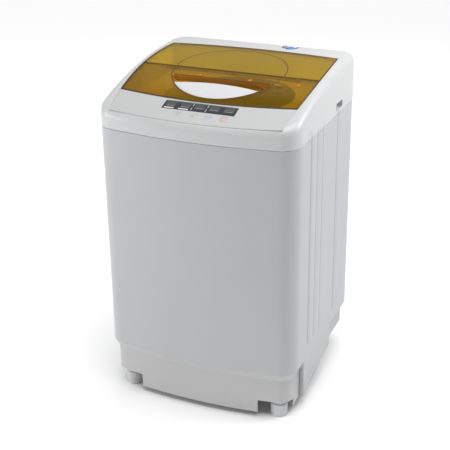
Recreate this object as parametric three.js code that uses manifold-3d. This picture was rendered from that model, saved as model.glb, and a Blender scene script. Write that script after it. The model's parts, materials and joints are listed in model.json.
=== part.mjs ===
// Top load washing machine with a folding see-through lid.
// Millimetres, +Z up. The front faces -Y and +X is the right-hand side seen from the front.
// The origin is the centre of the footprint, on the floor. Each THREE.Mesh is one physical piece.
import * as THREE from "three";
import { mergeVertices } from "three/addons/utils/BufferGeometryUtils.js";
import Module from "manifold-3d";

const wasm = await Module();
wasm.setup();

// ---- Driving dimensions -------------------------------------------------------------------
const GAP = 0.3; // air left between pieces that touch
const HEIGHT = 790;
const WIDTH = 480;
const DEPTH = 464;
const FRONT_BOW = 16.5; // how far the middle of the front stands ahead of its corners
const CORNER_RADIUS = 45;
const REAR_Y = DEPTH / 2;
const CORNER_FRONT_Y = -DEPTH / 2 + FRONT_BOW;

// Top cover
const COVER_BOTTOM_Z = 681;
const COVER_WALL = 3;
const COVER_FILLET = 18;
const CROWN_RADIUS = 1040; // side view: the top falls forward along this arc
const CROWN_Y = 150; // behind this line the top is level
const OPENING_RADIUS = 152;
const OPENING_LIP_Z = 640;
const LID_POCKET_Z = 722;
const CONTROL_POCKET_Z = 704;

// Lid, seen from above: a barrel with four bowed edges
const LID_HALF_WIDTH = 220.5;
const LID_SIDE_CURVE = 3.5e-4;
const LID_WIDEST_Y = 10;
const LID_REAR_Y = 149;
const LID_REAR_BOW = 17;
const LID_FRONT_Y = -131;
const LID_FRONT_BOW = 15.5;
const LID_THICKNESS = 4;
const LID_HINGE = { y: 143, z: 786.9 };
const FOLD = { y: 0, z: 770.8, gap: 0.5 };
const KNUCKLE = { xs: [-150, 0, 150], halfWidth: 12, radius: 3.4 };
const HINGE_LUG = { near: 193, far: 205, radius: 3 };
const PIN_RADIUS = 1.5;
const PIN_BORE = 1.8;
const PIN_SIDES = 10;
const FASCIA_FRONT_Y = -206;
const FASCIA_FRONT_BOW = 14;
const RING_RADIUS = 134; // the round outline on the lid, whose front part is the grip
const RING_Y = 1.5;
const GRIP_TIP_X = 103;
const GRIP_TOP_Y = -67;

// Controls on the fascia
const WINDOW = { halfWidth: 87, front: -182, rear: -152.5 };
const BUTTON_NAMES = ["button_program", "button_level", "button_start", "button_power"];
const BUTTON_FIRST_X = -40;
const BUTTON_PITCH = 36;
const BUTTON_Y = -195;
const BUTTON_RADIUS = 7.5;
const BOARD_Z = 712;

// Cold water inlet in the rear deck
const INLET = { x: 74, y: 207, recessRadius: 21, floorZ: 768 };
const INLET_BORE = 9;
const CAP_PLUG_RADIUS = 8.6;

// Hand grips in the sides of the top cover
const HAND_GRIP = { depth: 17, front: 62, rear: 112, bottom: 686.5, top: 708, wall: 4 };

// Cabinet and base
const CABINET_REAR_Y = 229.5;
const CABINET_WALL = 2;
const CABINET_BOTTOM_Z = 127.8;
const CABINET_TOP_Z = COVER_BOTTOM_Z - GAP;
const FLAP = { front: -133, rear: 62, frontZ: 33.5, rearZ: 72.5, stepZ: 104 };
const GROOVES = [
  { y: -109.5, halfWidth: 4, depth: 2.6 },
  { y: -69, halfWidth: 2.5, depth: 1.4 },
  { y: -27.5, halfWidth: 2.5, depth: 1.4 },
  { y: 79.5, halfWidth: 3.5, depth: 2.2 },
];
const GROOVE_BOTTOM_Z = 159;
const GROOVE_TOP_Z = 676;
const BACK_PANEL = { halfWidth: 190, bottom: 170, top: 655, lap: 10 };
const GLAND = { x: 150, z: 610, radius: 9, collarRadius: 13 };
const BASE_INSET = 11;
const BASE_WALL = 3;
const BASE_SHOULDER_Z = 108;
const BASE_BOTTOM_Z = 14;
const SHELF = { bottom: 104, top: 108, holeRadius: 172 };

// Feet
const FOOT_RADIUS = 20.5;
const FOOT_HEIGHT = 35.6;
const FOOT_PLACES = [
  { name: "foot_front_left", x: -194, y: -174 },
  { name: "foot_front_right", x: 194, y: -174 },
  { name: "foot_rear_left", x: -165, y: 160 },
  { name: "foot_rear_right", x: 165, y: 160 },
];

// Suspension
const ROD = { x: 200, y: 180, radius: 4, bottom: 246, top: 664 };
const EAR = { bottom: 330, top: 342 };

// Tub and drum, all on the Z axis
const TUB = { radius: 200, wall: 3, bottom: 204, floor: 208, top: 604 };
const DRUM = { radius: 182, wall: 2, bottom: 218.3, floor: 226, top: 570 };
const BALANCE_RING = { inner: 152, outer: 183, top: 600 };
const PULSATOR = { radius: 150, bottom: 229.5, hubTop: 258 };

// Drive under the tub
const DRIVE = { pulleyRadius: 72, motorX: -118, motorPulleyRadius: 20, bottom: 84, top: 100, rim: 3.5 };
const BELT = { thickness: 4.6, sink: 3.6 };
const DRAIN = { valveX: -60, valveY: 115, outletX: -150, outletZ: 148, radius: 13 };

// ---- Materials ----------------------------------------------------------------------------
const finish = (color, roughness, metalness = 0) =>
  new THREE.MeshStandardMaterial({ color, roughness, metalness });
const MATERIALS = {
  bodyPaint: () => finish(0xc9cbce, 0.45, 0.1),
  coverPlastic: () => finish(0xe8eaea, 0.4),
  basePlastic: () => finish(0xb6b7b8, 0.55),
  fasciaPlastic: () => finish(0xd4d6d6, 0.5),
  amberPlastic: () => finish(0xc9961a, 0.15),
  gripWhite: () => finish(0xe4e4e4, 0.4),
  darkWindow: () => finish(0x2b2c2e, 0.2),
  bluePlastic: () => finish(0x3f7fd0, 0.4),
  redPlastic: () => finish(0xd98a8a, 0.5),
  greyPlastic: () => finish(0xa9abac, 0.55),
  whitePlastic: () => finish(0xeeeeec, 0.5),
  tubPlastic: () => finish(0xdcdcd6, 0.6),
  stainless: () => finish(0xc4c6c8, 0.3, 0.9),
  zincSteel: () => finish(0xa6a8aa, 0.45, 0.8),
  darkSteel: () => finish(0x55585b, 0.5, 0.7),
  castAluminium: () => finish(0x9da0a3, 0.5, 0.8),
  rubber: () => finish(0x2a2a2a, 0.85),
  circuitGreen: () => finish(0x2f6b43, 0.6),
};

const ROUND_STEPS = 36; // sides of the large round pieces

// ---- Small tools --------------------------------------------------------------------------
function solid(geometry) {
  const bare = geometry.clone();
  bare.deleteAttribute("normal");
  bare.deleteAttribute("uv");
  const merged = mergeVertices(bare);
  return new wasm.Manifold(
    new wasm.Mesh({
      numProp: 3,
      vertProperties: new Float32Array(merged.attributes.position.array),
      triVerts: new Uint32Array(merged.index.array),
    }),
  );
}

function toGeometry(body) {
  const mesh = body.getMesh();
  const geometry = new THREE.BufferGeometry();
  geometry.setAttribute("position", new THREE.BufferAttribute(mesh.vertProperties, 3));
  geometry.setIndex(new THREE.BufferAttribute(mesh.triVerts, 1));
  geometry.computeVertexNormals();
  return geometry;
}

function box(x0, x1, y0, y1, z0, z1) {
  const geometry = new THREE.BoxGeometry(x1 - x0, y1 - y0, z1 - z0);
  return solid(geometry.translate((x0 + x1) / 2, (y0 + y1) / 2, (z0 + z1) / 2));
}

function disc(x, y, z0, z1, radius, segments = 32) {
  const geometry = new THREE.CylinderGeometry(radius, radius, z1 - z0, segments);
  return solid(geometry.rotateX(Math.PI / 2).translate(x, y, (z0 + z1) / 2));
}

// A cylinder lying along Y
function rodAlongY(x, z, y0, y1, radius, segments = 16) {
  const geometry = new THREE.CylinderGeometry(radius, radius, y1 - y0, segments);
  return solid(geometry.translate(x, (y0 + y1) / 2, z));
}

// A cylinder lying along X
function rodAlongX(y, z, x0, x1, radius, segments = 16) {
  const geometry = new THREE.CylinderGeometry(radius, radius, x1 - x0, segments);
  return solid(geometry.rotateZ(Math.PI / 2).translate((x0 + x1) / 2, y, z));
}

// Turns [radius, z] pairs about a vertical axis; the profile ends on the axis or closes itself
function turned(profile, segments = 48, x = 0, y = 0) {
  const points = profile.map(([r, z]) => new THREE.Vector2(r, z));
  const geometry = new THREE.LatheGeometry(points, segments).rotateX(Math.PI / 2);
  return solid(geometry.translate(x, y, 0));
}

function tube(x, y, z0, z1, outer, inner, segments = 48) {
  return turned([[inner, z0], [outer, z0], [outer, z1], [inner, z1], [inner, z0]], segments, x, y);
}

function prism(outline, z0, z1) {
  const shape = new THREE.Shape(outline);
  const geometry = new THREE.ExtrudeGeometry(shape, { depth: z1 - z0, bevelEnabled: false });
  return solid(geometry.translate(0, 0, z0));
}

// Pushes a side-view outline of [y, z] pairs along X
function sidePrism(pairs, x0, x1) {
  const shape = new THREE.Shape(pairs.map(([y, z]) => new THREE.Vector2(y, z)));
  const geometry = new THREE.ExtrudeGeometry(shape, { depth: x1 - x0, bevelEnabled: false });
  const axes = new THREE.Matrix4().set(0, 0, 1, x0, 1, 0, 0, 0, 0, 1, 0, 0, 0, 0, 0, 1);
  return solid(geometry.applyMatrix4(axes));
}

function sweep(places, radius, steps = 18, sides = 12) {
  const path = new THREE.CatmullRomCurve3(places.map((p) => new THREE.Vector3(...p)));
  const section = new THREE.Shape(
    Array.from({ length: sides }, (_, i) => {
      const angle = (i / sides) * 2 * Math.PI;
      return new THREE.Vector2(radius * Math.cos(angle), radius * Math.sin(angle));
    }),
  );
  return solid(new THREE.ExtrudeGeometry(section, { steps, bevelEnabled: false, extrudePath: path }));
}

const joined = (...bodies) => bodies.reduce((sum, body) => sum.add(body));
const cutBy = (body, cuts) => cuts.reduce((sum, cut) => sum.subtract(cut), body);
const mirrored = (make) => [-1, 1].map((side) => make(side));

// A pair of end values on the left or the right
const ends = (side, near, far) => (side > 0 ? [near, far] : [-far, -near]);
const sideBox = (side, x0, x1, y0, y1, z0, z1) => box(...ends(side, x0, x1), y0, y1, z0, z1);

// ---- Outlines -----------------------------------------------------------------------------
const CORNER_STEPS = 5;
const FRONT_STEPS = 6;
const SIDE_STEPS = 6;
const REAR_STEPS = 2;

function stretch(from, to, steps) {
  return Array.from({ length: steps - 1 }, (_, i) => from + ((to - from) * (i + 1)) / steps);
}

function cornerArc(cx, cy, radius, startTurn) {
  return Array.from({ length: CORNER_STEPS + 1 }, (_, i) => {
    const angle = (startTurn + i / CORNER_STEPS / 4) * 2 * Math.PI;
    return new THREE.Vector2(cx + radius * Math.cos(angle), cy + radius * Math.sin(angle));
  });
}

// The body seen from above, pulled in by `inset`; always the same number of points
function bodyOutline(inset, rearY = REAR_Y) {
  const radius = Math.max(CORNER_RADIUS - inset, 6);
  const x = WIDTH / 2 - inset - radius;
  const front = CORNER_FRONT_Y + inset + radius;
  const rear = rearY - inset - radius;
  const bowed = (px) => front - radius - FRONT_BOW * (1 - (px / x) ** 2);
  return [
    ...cornerArc(-x, front, radius, 0.5),
    ...stretch(-x, x, FRONT_STEPS).map((px) => new THREE.Vector2(px, bowed(px))),
    ...cornerArc(x, front, radius, 0.75),
    ...stretch(front, rear, SIDE_STEPS).map((py) => new THREE.Vector2(x + radius, py)),
    ...cornerArc(x, rear, radius, 0),
    ...stretch(x, -x, REAR_STEPS).map((px) => new THREE.Vector2(px, rear + radius)),
    ...cornerArc(-x, rear, radius, 0.25),
    ...stretch(rear, front, SIDE_STEPS).map((py) => new THREE.Vector2(-x - radius, py)),
  ];
}

// A closed body through rings of equal length, listed from the bottom up
function loft(rings) {
  const count = rings[0].length;
  const first = rings[0];
  const last = rings[rings.length - 1];
  const middle = (ring) =>
    ring.reduce((sum, p) => sum.add(p), new THREE.Vector3()).divideScalar(count);
  const points = [...rings.flat(), middle(first), middle(last)];
  const bottomCentre = rings.length * count;
  const topCentre = bottomCentre + 1;
  const index = [];
  for (let i = 0; i < count; i += 1) {
    const next = (i + 1) % count;
    index.push(bottomCentre, next, i);
    for (let ring = 0; ring < rings.length - 1; ring += 1) {
      const a = ring * count;
      const b = a + count;
      index.push(a + i, a + next, b + next, a + i, b + next, b + i);
    }
    const top = (rings.length - 1) * count;
    index.push(topCentre, top + i, top + next);
  }
  const geometry = new THREE.BufferGeometry().setFromPoints(points);
  geometry.setIndex(index);
  return solid(geometry);
}

const ringAt = (outline, height) => outline.map((p) => new THREE.Vector3(p.x, p.y, height(p)));

// Height of the crowned top surface at a given Y
function topHeight(y) {
  const forward = Math.max(CROWN_Y - y, 0);
  return HEIGHT - (CROWN_RADIUS - Math.sqrt(CROWN_RADIUS ** 2 - forward ** 2));
}

// Everything below the top surface moved inwards by `inset`
function underTop(inset, bottom = COVER_BOTTOM_Z) {
  const fillet = COVER_FILLET - inset;
  const filletInsets = [0, 0.15, 0.5, 1].map((share) => share * fillet);
  const insideInsets = [60, 120, 190];
  const drop = (s) => (s < fillet ? fillet - Math.sqrt(fillet ** 2 - (fillet - s) ** 2) : 0);
  return loft([
    ringAt(bodyOutline(inset), () => bottom),
    ...filletInsets.map((s) => ringAt(bodyOutline(inset + s), (p) => topHeight(p.y) - inset - drop(s))),
    ...insideInsets.map((s) => ringAt(bodyOutline(s), (p) => topHeight(p.y) - inset)),
  ]);
}

const CROSS_STEPS = 8;
const lidHalfWidth = (y) => LID_HALF_WIDTH - LID_SIDE_CURVE * (y - LID_WIDEST_Y) ** 2;

// The barrel outline between two cross lines, each bowed outwards, grown by `grow`.
// A cross line of direction 1 runs towards +X, and one of direction -1 runs back.
function barrel(front, frontBow, rear, rearBow, grow = 0) {
  const cross = (y, bow, direction) =>
    Array.from({ length: CROSS_STEPS + 1 }, (_, i) => {
      const share = direction * ((2 * i) / CROSS_STEPS - 1);
      const x = share * (lidHalfWidth(y) + grow);
      return new THREE.Vector2(x, y - direction * bow * (1 - share ** 2));
    });
  const sides = (from, to, side) =>
    stretch(from, to, 4).map((y) => new THREE.Vector2(side * (lidHalfWidth(y) + grow), y));
  return [
    ...cross(front - grow, frontBow, 1),
    ...sides(front, rear, 1),
    ...cross(rear + grow, rearBow, -1),
    ...sides(rear, front, -1),
  ];
}

const lidOutline = (grow = 0) => barrel(LID_FRONT_Y, LID_FRONT_BOW, LID_REAR_Y, LID_REAR_BOW, grow);

// The fascia: its rear edge runs parallel to the front edge of the lid
const fasciaOutline = (grow = 0) =>
  barrel(FASCIA_FRONT_Y, FASCIA_FRONT_BOW, LID_FRONT_Y - 3.5, -LID_FRONT_BOW, grow);

// The crescent grip: the ring's front arc, closed by a shallower curve behind it
function gripOutline(grow = 0) {
  const ringRadius = RING_RADIUS - 2;
  const tipY = RING_Y - Math.sqrt(ringRadius ** 2 - GRIP_TIP_X ** 2);
  const bend = (GRIP_TOP_Y - tipY) / GRIP_TIP_X ** 2;
  const reach = GRIP_TIP_X + grow;
  const front = (x) => RING_Y - Math.sqrt((ringRadius + grow) ** 2 - x ** 2);
  const rear = (x) => GRIP_TOP_Y + 2 * grow - bend * x ** 2;
  const xs = [-reach, ...stretch(-reach, reach, 10), reach];
  return [
    ...xs.map((x) => new THREE.Vector2(x, front(x))),
    ...xs.reverse().map((x) => new THREE.Vector2(x, rear(x) + 0.2)),
  ];
}

// A slab of the crowned top between two cross lines, from `upper` to `lower` under the surface
function archSlab(upper, lower, y0 = -240, y1 = 200, steps = 14) {
  const ys = Array.from({ length: steps + 1 }, (_, i) => y0 + ((y1 - y0) * i) / steps);
  const top = ys.map((y) => [y, topHeight(y) - upper]);
  const bottom = ys.map((y) => [y, topHeight(y) - lower]);
  return sidePrism([...bottom, ...top.reverse()], -250, 250);
}

const rectangle = (x0, x1, y0, y1) =>
  [[x0, y0], [x1, y0], [x1, y1], [x0, y1]].map(([x, y]) => new THREE.Vector2(x, y));

// ---- Top cover and controls ---------------------------------------------------------------
const outerTop = underTop(0);
const ABOVE = HEIGHT + 20;

function topCover() {
  const shell = outerTop.subtract(underTop(COVER_WALL, COVER_BOTTOM_Z - 10));
  const lidBlock = prism(lidOutline(4), LID_POCKET_Z - 3, ABOVE);
  const controlBlock = prism(fasciaOutline(3.5), CONTROL_POCKET_Z - 3, ABOVE);
  const inletBlock = disc(INLET.x, INLET.y, INLET.floorZ - 3, ABOVE, INLET.recessRadius + 3);
  const { depth, front, rear, bottom, top, wall } = HAND_GRIP;
  const gripFloor = WIDTH / 2 - depth;
  const gripBlocks = mirrored((s) =>
    sideBox(s, gripFloor - wall, WIDTH / 2 - 2, front - wall, rear + wall, bottom - 3, top + wall),
  );
  const blocks = joined(lidBlock, controlBlock, inletBlock, ...gripBlocks).intersect(outerTop);
  const lip = tube(0, 0, OPENING_LIP_Z, LID_POCKET_Z - 2, OPENING_RADIUS + 3, OPENING_RADIUS, ROUND_STEPS);
  const body = joined(shell, blocks)
    .subtract(prism(lidOutline(1.2), LID_POCKET_Z, ABOVE))
    .subtract(prism(fasciaOutline(0.5), CONTROL_POCKET_Z, ABOVE))
    .subtract(disc(0, 0, LID_POCKET_Z - 10, LID_POCKET_Z + 5, OPENING_RADIUS + 1, ROUND_STEPS));
  const cuts = [
    disc(INLET.x, INLET.y, INLET.floorZ, ABOVE, INLET.recessRadius),
    disc(INLET.x, INLET.y, INLET.floorZ - 10, INLET.floorZ + 1, 13),
    box(INLET.x - 15, INLET.x + 15, 120, 150, OPENING_LIP_Z + 58, LID_POCKET_Z - 2.9),
    ...mirrored((s) => sideBox(s, gripFloor, WIDTH / 2 + 1, front, rear, bottom, top)),
    ...mirrored((s) => hingeRod(s, 213, 219, PIN_BORE + 0.1)),
  ];
  return cutBy(joined(body, lip), cuts);
}

const buttonX = (i) => BUTTON_FIRST_X + BUTTON_PITCH * i;

function windowOutline(grow) {
  const half = WINDOW.halfWidth + grow;
  return rectangle(-half, half, WINDOW.front - grow, WINDOW.rear + grow);
}

function controlFascia() {
  const plate = prism(fasciaOutline(), 690, ABOVE).intersect(archSlab(1, 4));
  const hole = (_, i) => disc(buttonX(i), BUTTON_Y, 690, ABOVE, BUTTON_RADIUS + 0.4, 16);
  return cutBy(plate, [prism(windowOutline(GAP), 690, ABOVE), ...BUTTON_NAMES.map(hole)]);
}

const displayWindow = () => prism(windowOutline(0), 690, ABOVE).intersect(archSlab(1.2, 3.6));

function button(i) {
  const column = disc(buttonX(i), BUTTON_Y, BOARD_Z + 6, ABOVE, BUTTON_RADIUS, 16);
  const stem = disc(buttonX(i), BUTTON_Y, BOARD_Z + 2.6, BOARD_Z + 7, 2.5, 8);
  return joined(column.intersect(archSlab(0.4, 60)), stem);
}

function controlBoard() {
  const transformer = box(95, 135, -190, -158, BOARD_Z - 1, BOARD_Z + 9);
  const relays = [-120, -98].map((x) => box(x, x + 17, -185, -160, BOARD_Z - 1, BOARD_Z + 10));
  const plate = box(-150, 150, -203, -156, BOARD_Z - 2, BOARD_Z);
  const legBottom = CONTROL_POCKET_Z + GAP;
  const legs = mirrored((s) => sideBox(s, 138, 146, -182, -174, legBottom, BOARD_Z - 1));
  return joined(plate, transformer, ...relays, ...legs);
}

// ---- Lid ----------------------------------------------------------------------------------
const foldRod = (x0, x1, radius) => rodAlongX(FOLD.y, FOLD.z, x0, x1, radius, PIN_SIDES);

// A rod on the rear hinge line, on the left or the right
function hingeRod(side, near, far, radius) {
  return rodAlongX(LID_HINGE.y, LID_HINGE.z, ...ends(side, near, far), radius, PIN_SIDES);
}

// One lid panel: its share of the barrel, with knuckles round the fold pin under its edge
function lidPanel(y0, y1, knuckles, armY0, armY1) {
  const share = prism(rectangle(-250, 250, y0, y1), 700, ABOVE);
  const plate = prism(lidOutline(), 700, ABOVE).intersect(share).intersect(archSlab(0, LID_THICKNESS));
  const underSurface = archSlab(1, 60);
  const arms = knuckles.map(([x0, x1]) =>
    box(x0, x1, armY0, armY1, FOLD.z - 2, FOLD.z + 7).intersect(underSurface),
  );
  return joined(plate, ...knuckles.map(([x0, x1]) => foldRod(x0, x1, KNUCKLE.radius)), ...arms);
}

function lidRearPanel() {
  const { xs, halfWidth } = KNUCKLE;
  const knuckles = xs.map((x) => [x - halfWidth, x + halfWidth]);
  const panel = lidPanel(FOLD.y + FOLD.gap, 200, knuckles, FOLD.y + 1, FOLD.y + 8);
  const lug = (s) => hingeRod(s, HINGE_LUG.near, HINGE_LUG.far, HINGE_LUG.radius);
  const pinBore = (s) => hingeRod(s, HINGE_LUG.near + 3, HINGE_LUG.far + 11, PIN_BORE);
  const cuts = [foldRod(-200, 200, PIN_BORE), ...mirrored(pinBore)];
  return cutBy(joined(panel, ...mirrored(lug)), cuts);
}

function lidFrontPanel() {
  const { xs, halfWidth } = KNUCKLE;
  const knuckles = xs.map((x) => [x + halfWidth + 0.5, x + 2 * halfWidth + 0.5]);
  const panel = lidPanel(-200, FOLD.y - FOLD.gap, knuckles, FOLD.y - 8, FOLD.y - 1);
  const keepClear = xs.map((x) => foldRod(x - halfWidth - 0.4, x + halfWidth + 0.4, KNUCKLE.radius + 0.8));
  return cutBy(panel, [prism(gripOutline(GAP), 700, ABOVE), foldRod(-200, 200, PIN_BORE), ...keepClear]);
}

const lidGrip = () => prism(gripOutline(), 700, ABOVE).intersect(archSlab(0.3, 5));
const foldPin = () => foldRod(-176, 176, PIN_RADIUS);
const hingePin = (side) => hingeRod(side, HINGE_LUG.near + 3.4, 218.5, PIN_RADIUS);

// ---- Cabinet and base ---------------------------------------------------------------------
function cabinetShell() {
  const outer = prism(bodyOutline(0, CABINET_REAR_Y), CABINET_BOTTOM_Z, CABINET_TOP_Z);
  const insideOutline = bodyOutline(CABINET_WALL, CABINET_REAR_Y);
  const inner = prism(insideOutline, CABINET_BOTTOM_Z - 5, CABINET_TOP_Z + 5);
  const flapSide = [
    [FLAP.front, CABINET_BOTTOM_Z + 12],
    [FLAP.front, FLAP.frontZ],
    [FLAP.rear - 6, FLAP.rearZ],
    [FLAP.rear - 2, FLAP.stepZ],
    [FLAP.rear, CABINET_BOTTOM_Z + 12],
  ];
  const half = WIDTH / 2;
  const flaps = mirrored((s) => sidePrism(flapSide, ...ends(s, half - CABINET_WALL, half)));

  // The backing of each groove and the groove itself, as bars along the side wall
  const bar = (s, groove, near, far, wider, z0, z1) => {
    const reach = groove.halfWidth + wider;
    return sideBox(s, half - groove.depth - near, half + far, groove.y - reach, groove.y + reach, z0, z1);
  };
  const backing = (groove) =>
    mirrored((s) => bar(s, groove, CABINET_WALL, -1, 2, GROOVE_BOTTOM_Z - 4, GROOVE_TOP_Z + 2));
  const hollow = (groove) => mirrored((s) => bar(s, groove, 0, 1, 0, GROOVE_BOTTOM_Z, GROOVE_TOP_Z - 1));
  const bracket = prism(bodyOutline(1, CABINET_REAR_Y), ROD.top - 9, ROD.top - 5).subtract(
    joined(box(-160, 160, -240, 240, 600, 700), box(-240, 240, -140, 140, 600, 700)),
  );
  const { halfWidth, bottom, top, lap } = BACK_PANEL;
  const cuts = [
    ...GROOVES.flatMap(hollow),
    box(-halfWidth, halfWidth, 220, 240, bottom + lap, top - lap),
    rodAlongY(DRAIN.outletX, DRAIN.outletZ, 220, 240, DRAIN.radius + 0.5),
    ...rodPlaces().map(([x, y]) => disc(x, y, 600, 700, ROD.radius + 1, 16)),
  ];
  return cutBy(joined(outer.subtract(inner), ...flaps, ...GROOVES.flatMap(backing), bracket), cuts);
}

function backPanel() {
  const { halfWidth, bottom, top } = BACK_PANEL;
  const plate = box(-halfWidth, halfWidth, CABINET_REAR_Y + GAP, REAR_Y, bottom, top);
  return plate.subtract(rodAlongY(GLAND.x, GLAND.z, 220, 240, GLAND.radius + 0.5));
}

function baseFrame() {
  const rear = CABINET_REAR_Y;
  const wall = (inset, bottom, top) =>
    loft([
      ringAt(bodyOutline(BASE_INSET + inset, rear), () => bottom),
      ringAt(bodyOutline(BASE_INSET + inset, rear), () => BASE_SHOULDER_Z),
      ringAt(bodyOutline(0.2 + inset, rear), () => top),
    ]);
  const hollow = wall(BASE_WALL, 0, CABINET_BOTTOM_Z + 0.5);
  const skirt = wall(0, BASE_BOTTOM_Z, CABINET_BOTTOM_Z - GAP).subtract(hollow);
  const shelf = prism(bodyOutline(BASE_INSET + 1, rear), SHELF.bottom, SHELF.top).subtract(
    disc(0, 0, 90, 120, SHELF.holeRadius, 40),
  );
  const bottomCut = [[-166, -5], [-166, 27], [57, 70], [240, 72], [240, -5]];
  const cuts = [
    sidePrism(bottomCut, -250, 250),
    ...mirrored((s) => sideBox(s, 153, 250, -240, -165, -5, 47)),
    ...mirrored((s) => sideBox(s, 237.6, 242, FLAP.front - 1, FLAP.rear + 1, 100, 130)),
  ];
  const trimmed = cutBy(joined(skirt, shelf), cuts);
  const bosses = FOOT_PLACES.map(({ x, y }) => disc(x, y, FOOT_HEIGHT + 0.4, SHELF.top - 1, 22, 24));
  const holes = FOOT_PLACES.map(({ x, y }) => disc(x, y, 20, 66, 5, 16));
  return cutBy(joined(trimmed, ...bosses), holes);
}

function foot({ x, y }) {
  const r = FOOT_RADIUS;
  const profile = [[0, 0], [r - 1, 0], [r, 2], [r, 31], [4.5, FOOT_HEIGHT], [4.5, 58], [0, 58]];
  return turned(profile, 16, x, y);
}

// ---- Suspension ---------------------------------------------------------------------------
const SUSPENSION_NAMES = ["front_left", "front_right", "rear_left", "rear_right"];
const SUSPENSION_SIGNS = [[-1, -1], [1, -1], [-1, 1], [1, 1]];
const rodPlaces = () => SUSPENSION_SIGNS.map(([sx, sy]) => [sx * ROD.x, sy * ROD.y]);

function suspensionRod([x, y]) {
  const { radius: r, bottom, top } = ROD;
  const profile = [
    [0, bottom], [12, bottom], [12, bottom + 4], [r, bottom + 4], [r, top - 4.7],
    [9, top - 4.7], [9, top], [0, top + 3],
  ];
  return turned(profile, 12, x, y);
}

const suspensionSpring = ([x, y]) => tube(x, y, ROD.bottom + 4 + GAP, EAR.bottom - GAP, 11, 6, 12);

// ---- Tub ----------------------------------------------------------------------------------
function outerTub() {
  const { radius, wall, bottom, floor, top } = TUB;
  const profile = [
    [20, bottom], [radius, bottom], [radius, top], [radius - wall, top],
    [radius - wall, floor], [20, floor], [20, bottom],
  ];
  const arms = rodPlaces().map(([x, y]) => {
    const reach = Math.hypot(x, y);
    const arm = new THREE.BoxGeometry(reach + 14 - (radius - 1), 34, EAR.top - EAR.bottom);
    arm.translate((reach + 14 + radius - 1) / 2, 0, (EAR.top + EAR.bottom) / 2);
    return solid(arm.rotateZ(Math.atan2(y, x)));
  });
  const holes = rodPlaces().map(([x, y]) => disc(x, y, EAR.bottom - 5, EAR.top + 5, ROD.radius + 2, 16));
  const drainHole = disc(DRAIN.valveX, DRAIN.valveY, 190, 220, 12, 20);
  return cutBy(joined(turned(profile, ROUND_STEPS), ...arms), [...holes, drainHole]);
}

function tubRing() {
  const profile = [
    [163, 610], [TUB.radius + GAP, 610], [TUB.radius + GAP, 592],
    [TUB.radius + 3.5, 592], [TUB.radius + 3.5, 614], [163, 614], [163, 610],
  ];
  return turned(profile, ROUND_STEPS);
}

const TUB_PLATE_TOP = TUB.bottom - GAP;
const TUB_PLATE_BOTTOM = TUB_PLATE_TOP - 4;

function tubBasePlate() {
  const plate = prism(rectangle(-176, 150, -58, 58), TUB_PLATE_BOTTOM, TUB_PLATE_TOP);
  const flange = mirrored((s) => box(-176, 150, ...ends(s, 56, 58), TUB_PLATE_TOP - 14, TUB_PLATE_TOP));
  return joined(plate, ...flange).subtract(disc(0, 0, 180, 220, 30, 32));
}

function gearbox() {
  const shoulder = TUB_PLATE_BOTTOM - GAP;
  const neckTop = TUB_PLATE_TOP - 1;
  return turned(
    [
      [15, 108], [50, 108], [54, 114], [54, shoulder],
      [27, shoulder], [27, neckTop], [15, neckTop], [15, 108],
    ],
    24,
  );
}

const tubSeal = () => tube(0, 0, TUB.bottom, TUB.floor + 4, 19.4, 14.6, 20);

function motor() {
  const x = DRIVE.motorX;
  const can = turned([[0, 122], [44, 122], [50, 128], [50, 186], [44, 190], [0, 190]], 32, x, 0);
  const lugs = [-38, 38].map((y) => box(x - 8, x + 8, y - 8, y + 8, 180, TUB_PLATE_BOTTOM - GAP));
  return joined(can, ...lugs);
}

function pulley(x, rimRadius, shaftTop) {
  const { bottom, top, rim } = DRIVE;
  const groove = rimRadius - BELT.sink;
  const profile = [
    [0, bottom], [rimRadius, bottom], [rimRadius, bottom + rim], [groove, bottom + rim + 0.1],
    [groove, top - rim - 0.1], [rimRadius, top - rim], [rimRadius, top],
    [7, top], [7, shaftTop], [0, shaftTop],
  ];
  return turned(profile, rimRadius > 40 ? 32 : 16, x, 0);
}

// The belt seen from above: the two outer tangents and the arcs between them
function beltOutline(offset) {
  const big = DRIVE.pulleyRadius - BELT.sink + offset;
  const small = DRIVE.motorPulleyRadius - BELT.sink + offset;
  const lean = Math.acos((small - big) / DRIVE.motorX);
  const arc = (cx, radius, from, to, steps) =>
    Array.from({ length: steps + 1 }, (_, i) => {
      const angle = from + ((to - from) * i) / steps;
      return new THREE.Vector2(cx + radius * Math.cos(angle), radius * Math.sin(angle));
    });
  const tangent = Math.PI - lean;
  return [
    ...arc(0, big, -tangent, tangent, 28),
    ...arc(DRIVE.motorX, small, tangent, 2 * Math.PI - tangent, 10),
  ];
}

function driveBelt() {
  const z0 = DRIVE.bottom + DRIVE.rim + 0.5;
  const z1 = DRIVE.top - DRIVE.rim - 0.5;
  return prism(beltOutline(BELT.thickness), z0, z1).subtract(prism(beltOutline(0.5), z0 - 1, z1 + 1));
}

function drainValve() {
  const { valveX: x, valveY: y } = DRAIN;
  const top = TUB.bottom - GAP;
  const body = turned([[0, 158], [20, 158], [20, 190], [24, 194], [24, top], [0, top]], 24, x, y);
  const elbow = new THREE.CylinderGeometry(DRAIN.radius, DRAIN.radius, 30, 12);
  return joined(body, solid(elbow.translate(x, y + 20, 172)));
}

function drainActuator() {
  const { valveX: x, valveY: y } = DRAIN;
  return joined(box(x + 32, x + 72, y - 20, y + 20, 160, 198), rodAlongX(y, 172, x + 20.5, x + 34, 4));
}

function drainHose() {
  const start = [DRAIN.valveX, DRAIN.valveY + 35.4, 172];
  const end = [DRAIN.outletX, 203, DRAIN.outletZ];
  const places = [
    start, [start[0], start[1] + 12, 172], [start[0] - 16, start[1] + 28, 168],
    [-108, 184, 155], [end[0] + 10, 186, 149], [end[0], 194, end[2]], end,
  ];
  return sweep(places, DRAIN.radius, 16, 10);
}

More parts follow.
